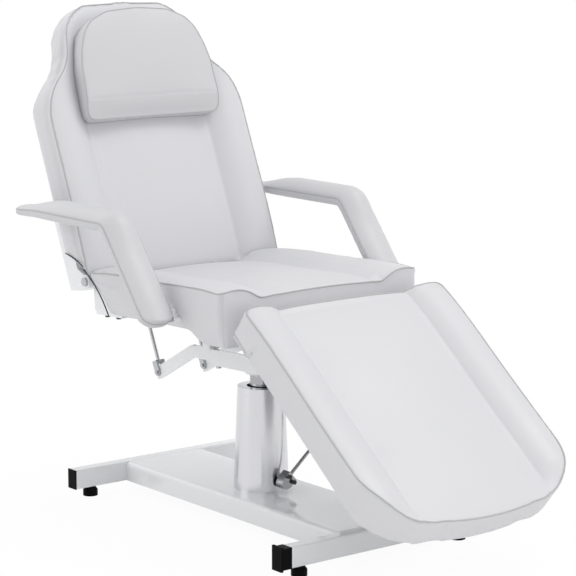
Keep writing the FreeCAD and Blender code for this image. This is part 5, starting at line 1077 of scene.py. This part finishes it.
class BED_OT_studio(Operator):
    """White floor, soft light and the camera"""

    bl_idname = "bed.studio"
    bl_label = "Studio"

    def execute(self, context):
        scene = context.scene
        studio = scene.bed_studio
        bpy.ops.object.select_all(action="DESELECT")
        bpy.ops.mesh.primitive_plane_add(size=FLOOR_SIZE)
        floor = context.object
        floor.name = "studio_floor"
        floor.data.materials.append(self.floor_material(studio.floor))
        self.sky()
        for name, place, power in LAMPS:
            light = bpy.data.lights.new(name, "AREA")
            light.size = LAMP_SIZE
            light.energy = power
            self.aimed(name, light, place, LAMP_AIM - Vector(place))
        a, e = studio.azimuth, studio.elevation
        back = Vector((math.sin(a) * math.cos(e), -math.cos(a) * math.cos(e), math.sin(e)))
        camera = bpy.data.cameras.new("Camera")
        camera.lens = studio.lens
        camera.sensor_width = SENSOR_WIDTH
        camera.clip_end = FAR_CLIP
        scene.camera = self.aimed("Camera", camera, studio.place, -back)
        scene.view_settings.view_transform = "Standard"
        return {"FINISHED"}

    def floor_material(self, colour):
        """Matt white that keeps the bed's shadow near it and turns plain white further out."""
        material = bpy.data.materials.new("Studio floor")
        material.use_nodes = True
        tree = material.node_tree
        tree.nodes.clear()
        matt = add_node(tree, "ShaderNodeBsdfDiffuse", Color=(*colour, 1))
        glow = tree.nodes.new("ShaderNodeEmission")
        place = tree.nodes.new("ShaderNodeTexCoord")
        reach = tree.nodes.new("ShaderNodeVectorMath")
        reach.operation = "LENGTH"
        connect(tree, place.outputs["Object"], reach.inputs[0])
        ramp = ranged(tree, reach.outputs["Value"], FLOOR_FADE, FLOOR_GLOW)
        ramp.interpolation_type = "SMOOTHSTEP"
        factor = math_node(tree, "MULTIPLY", ramp.outputs[0], self.seen_directly(tree))
        self.mixed(tree, "ShaderNodeOutputMaterial", factor, matt, glow)
        return material

    def sky(self):
        """Even light from all round, plain white where it is seen."""
        world = bpy.data.worlds.new("Studio")
        bpy.context.scene.world = world
        world.use_nodes = True
        tree = world.node_tree
        tree.nodes.clear()
        light = add_node(tree, "ShaderNodeBackground", Color=(1, 1, 1, 1), Strength=SKY_STRENGTH)
        seen = add_node(tree, "ShaderNodeBackground", Color=(1, 1, 1, 1))
        self.mixed(tree, "ShaderNodeOutputWorld", self.seen_directly(tree), light, seen)

    def seen_directly(self, tree):
        """A socket that is one for what the camera or a polished part sees, and else nought."""
        path = tree.nodes.new("ShaderNodeLightPath")
        return math_node(tree, "MAXIMUM", path.outputs["Is Camera Ray"], path.outputs["Is Glossy Ray"])

    def mixed(self, tree, output, factor, first, second):
        """End a tree with a mix of two shaders."""
        mix = tree.nodes.new("ShaderNodeMixShader")
        for socket, source in zip(mix.inputs, (factor, first.outputs[0], second.outputs[0])):
            connect(tree, source, socket)
        add_node(tree, output, Surface=mix.outputs[0])

    def aimed(self, name, data, place, way):
        """A lamp or camera at a place, turned to look along a way."""
        obj = bpy.data.objects.new(name, data)
        bpy.context.scene.collection.objects.link(obj)
        obj.location = place
        obj.rotation_mode = "QUATERNION"
        obj.rotation_quaternion = way.to_track_quat("-Z", "Y")
        return obj


class BED_PT_panel(Panel):
    """The dressing steps, in order"""

    bl_idname = "BED_PT_panel"
    bl_label = "Massage bed"
    bl_space_type = "VIEW_3D"
    bl_region_type = "UI"
    bl_category = "Massage bed"

    def draw(self, context):
        for step in STEPS:
            self.layout.operator(step.bl_idname)


STEPS = (BED_OT_finishes, BED_OT_seat, BED_OT_back, BED_OT_leg, BED_OT_armrests, BED_OT_pillow, BED_OT_studio)
SETTINGS = {"bed_upholstery": BedUpholstery, "bed_metal": BedMetal, "bed_studio": BedStudio}


def register():
    """Make the settings, the steps and the panel known."""
    for kind in (*SETTINGS.values(), *STEPS, BED_PT_panel):
        bpy.utils.register_class(kind)
    for name, kind in SETTINGS.items():
        setattr(bpy.types.Scene, name, PointerProperty(type=kind))


def unregister():
    """Take the settings, the steps and the panel away again."""
    for name in SETTINGS:
        delattr(bpy.types.Scene, name)
    for kind in reversed((*SETTINGS.values(), *STEPS, BED_PT_panel)):
        bpy.utils.unregister_class(kind)


def main():
    """Dress the bed step by step."""
    register()
    for step in STEPS:
        family, name = step.bl_idname.split(".")
        getattr(getattr(bpy.ops, family), name)()


if __name__ == "__main__":
    main()
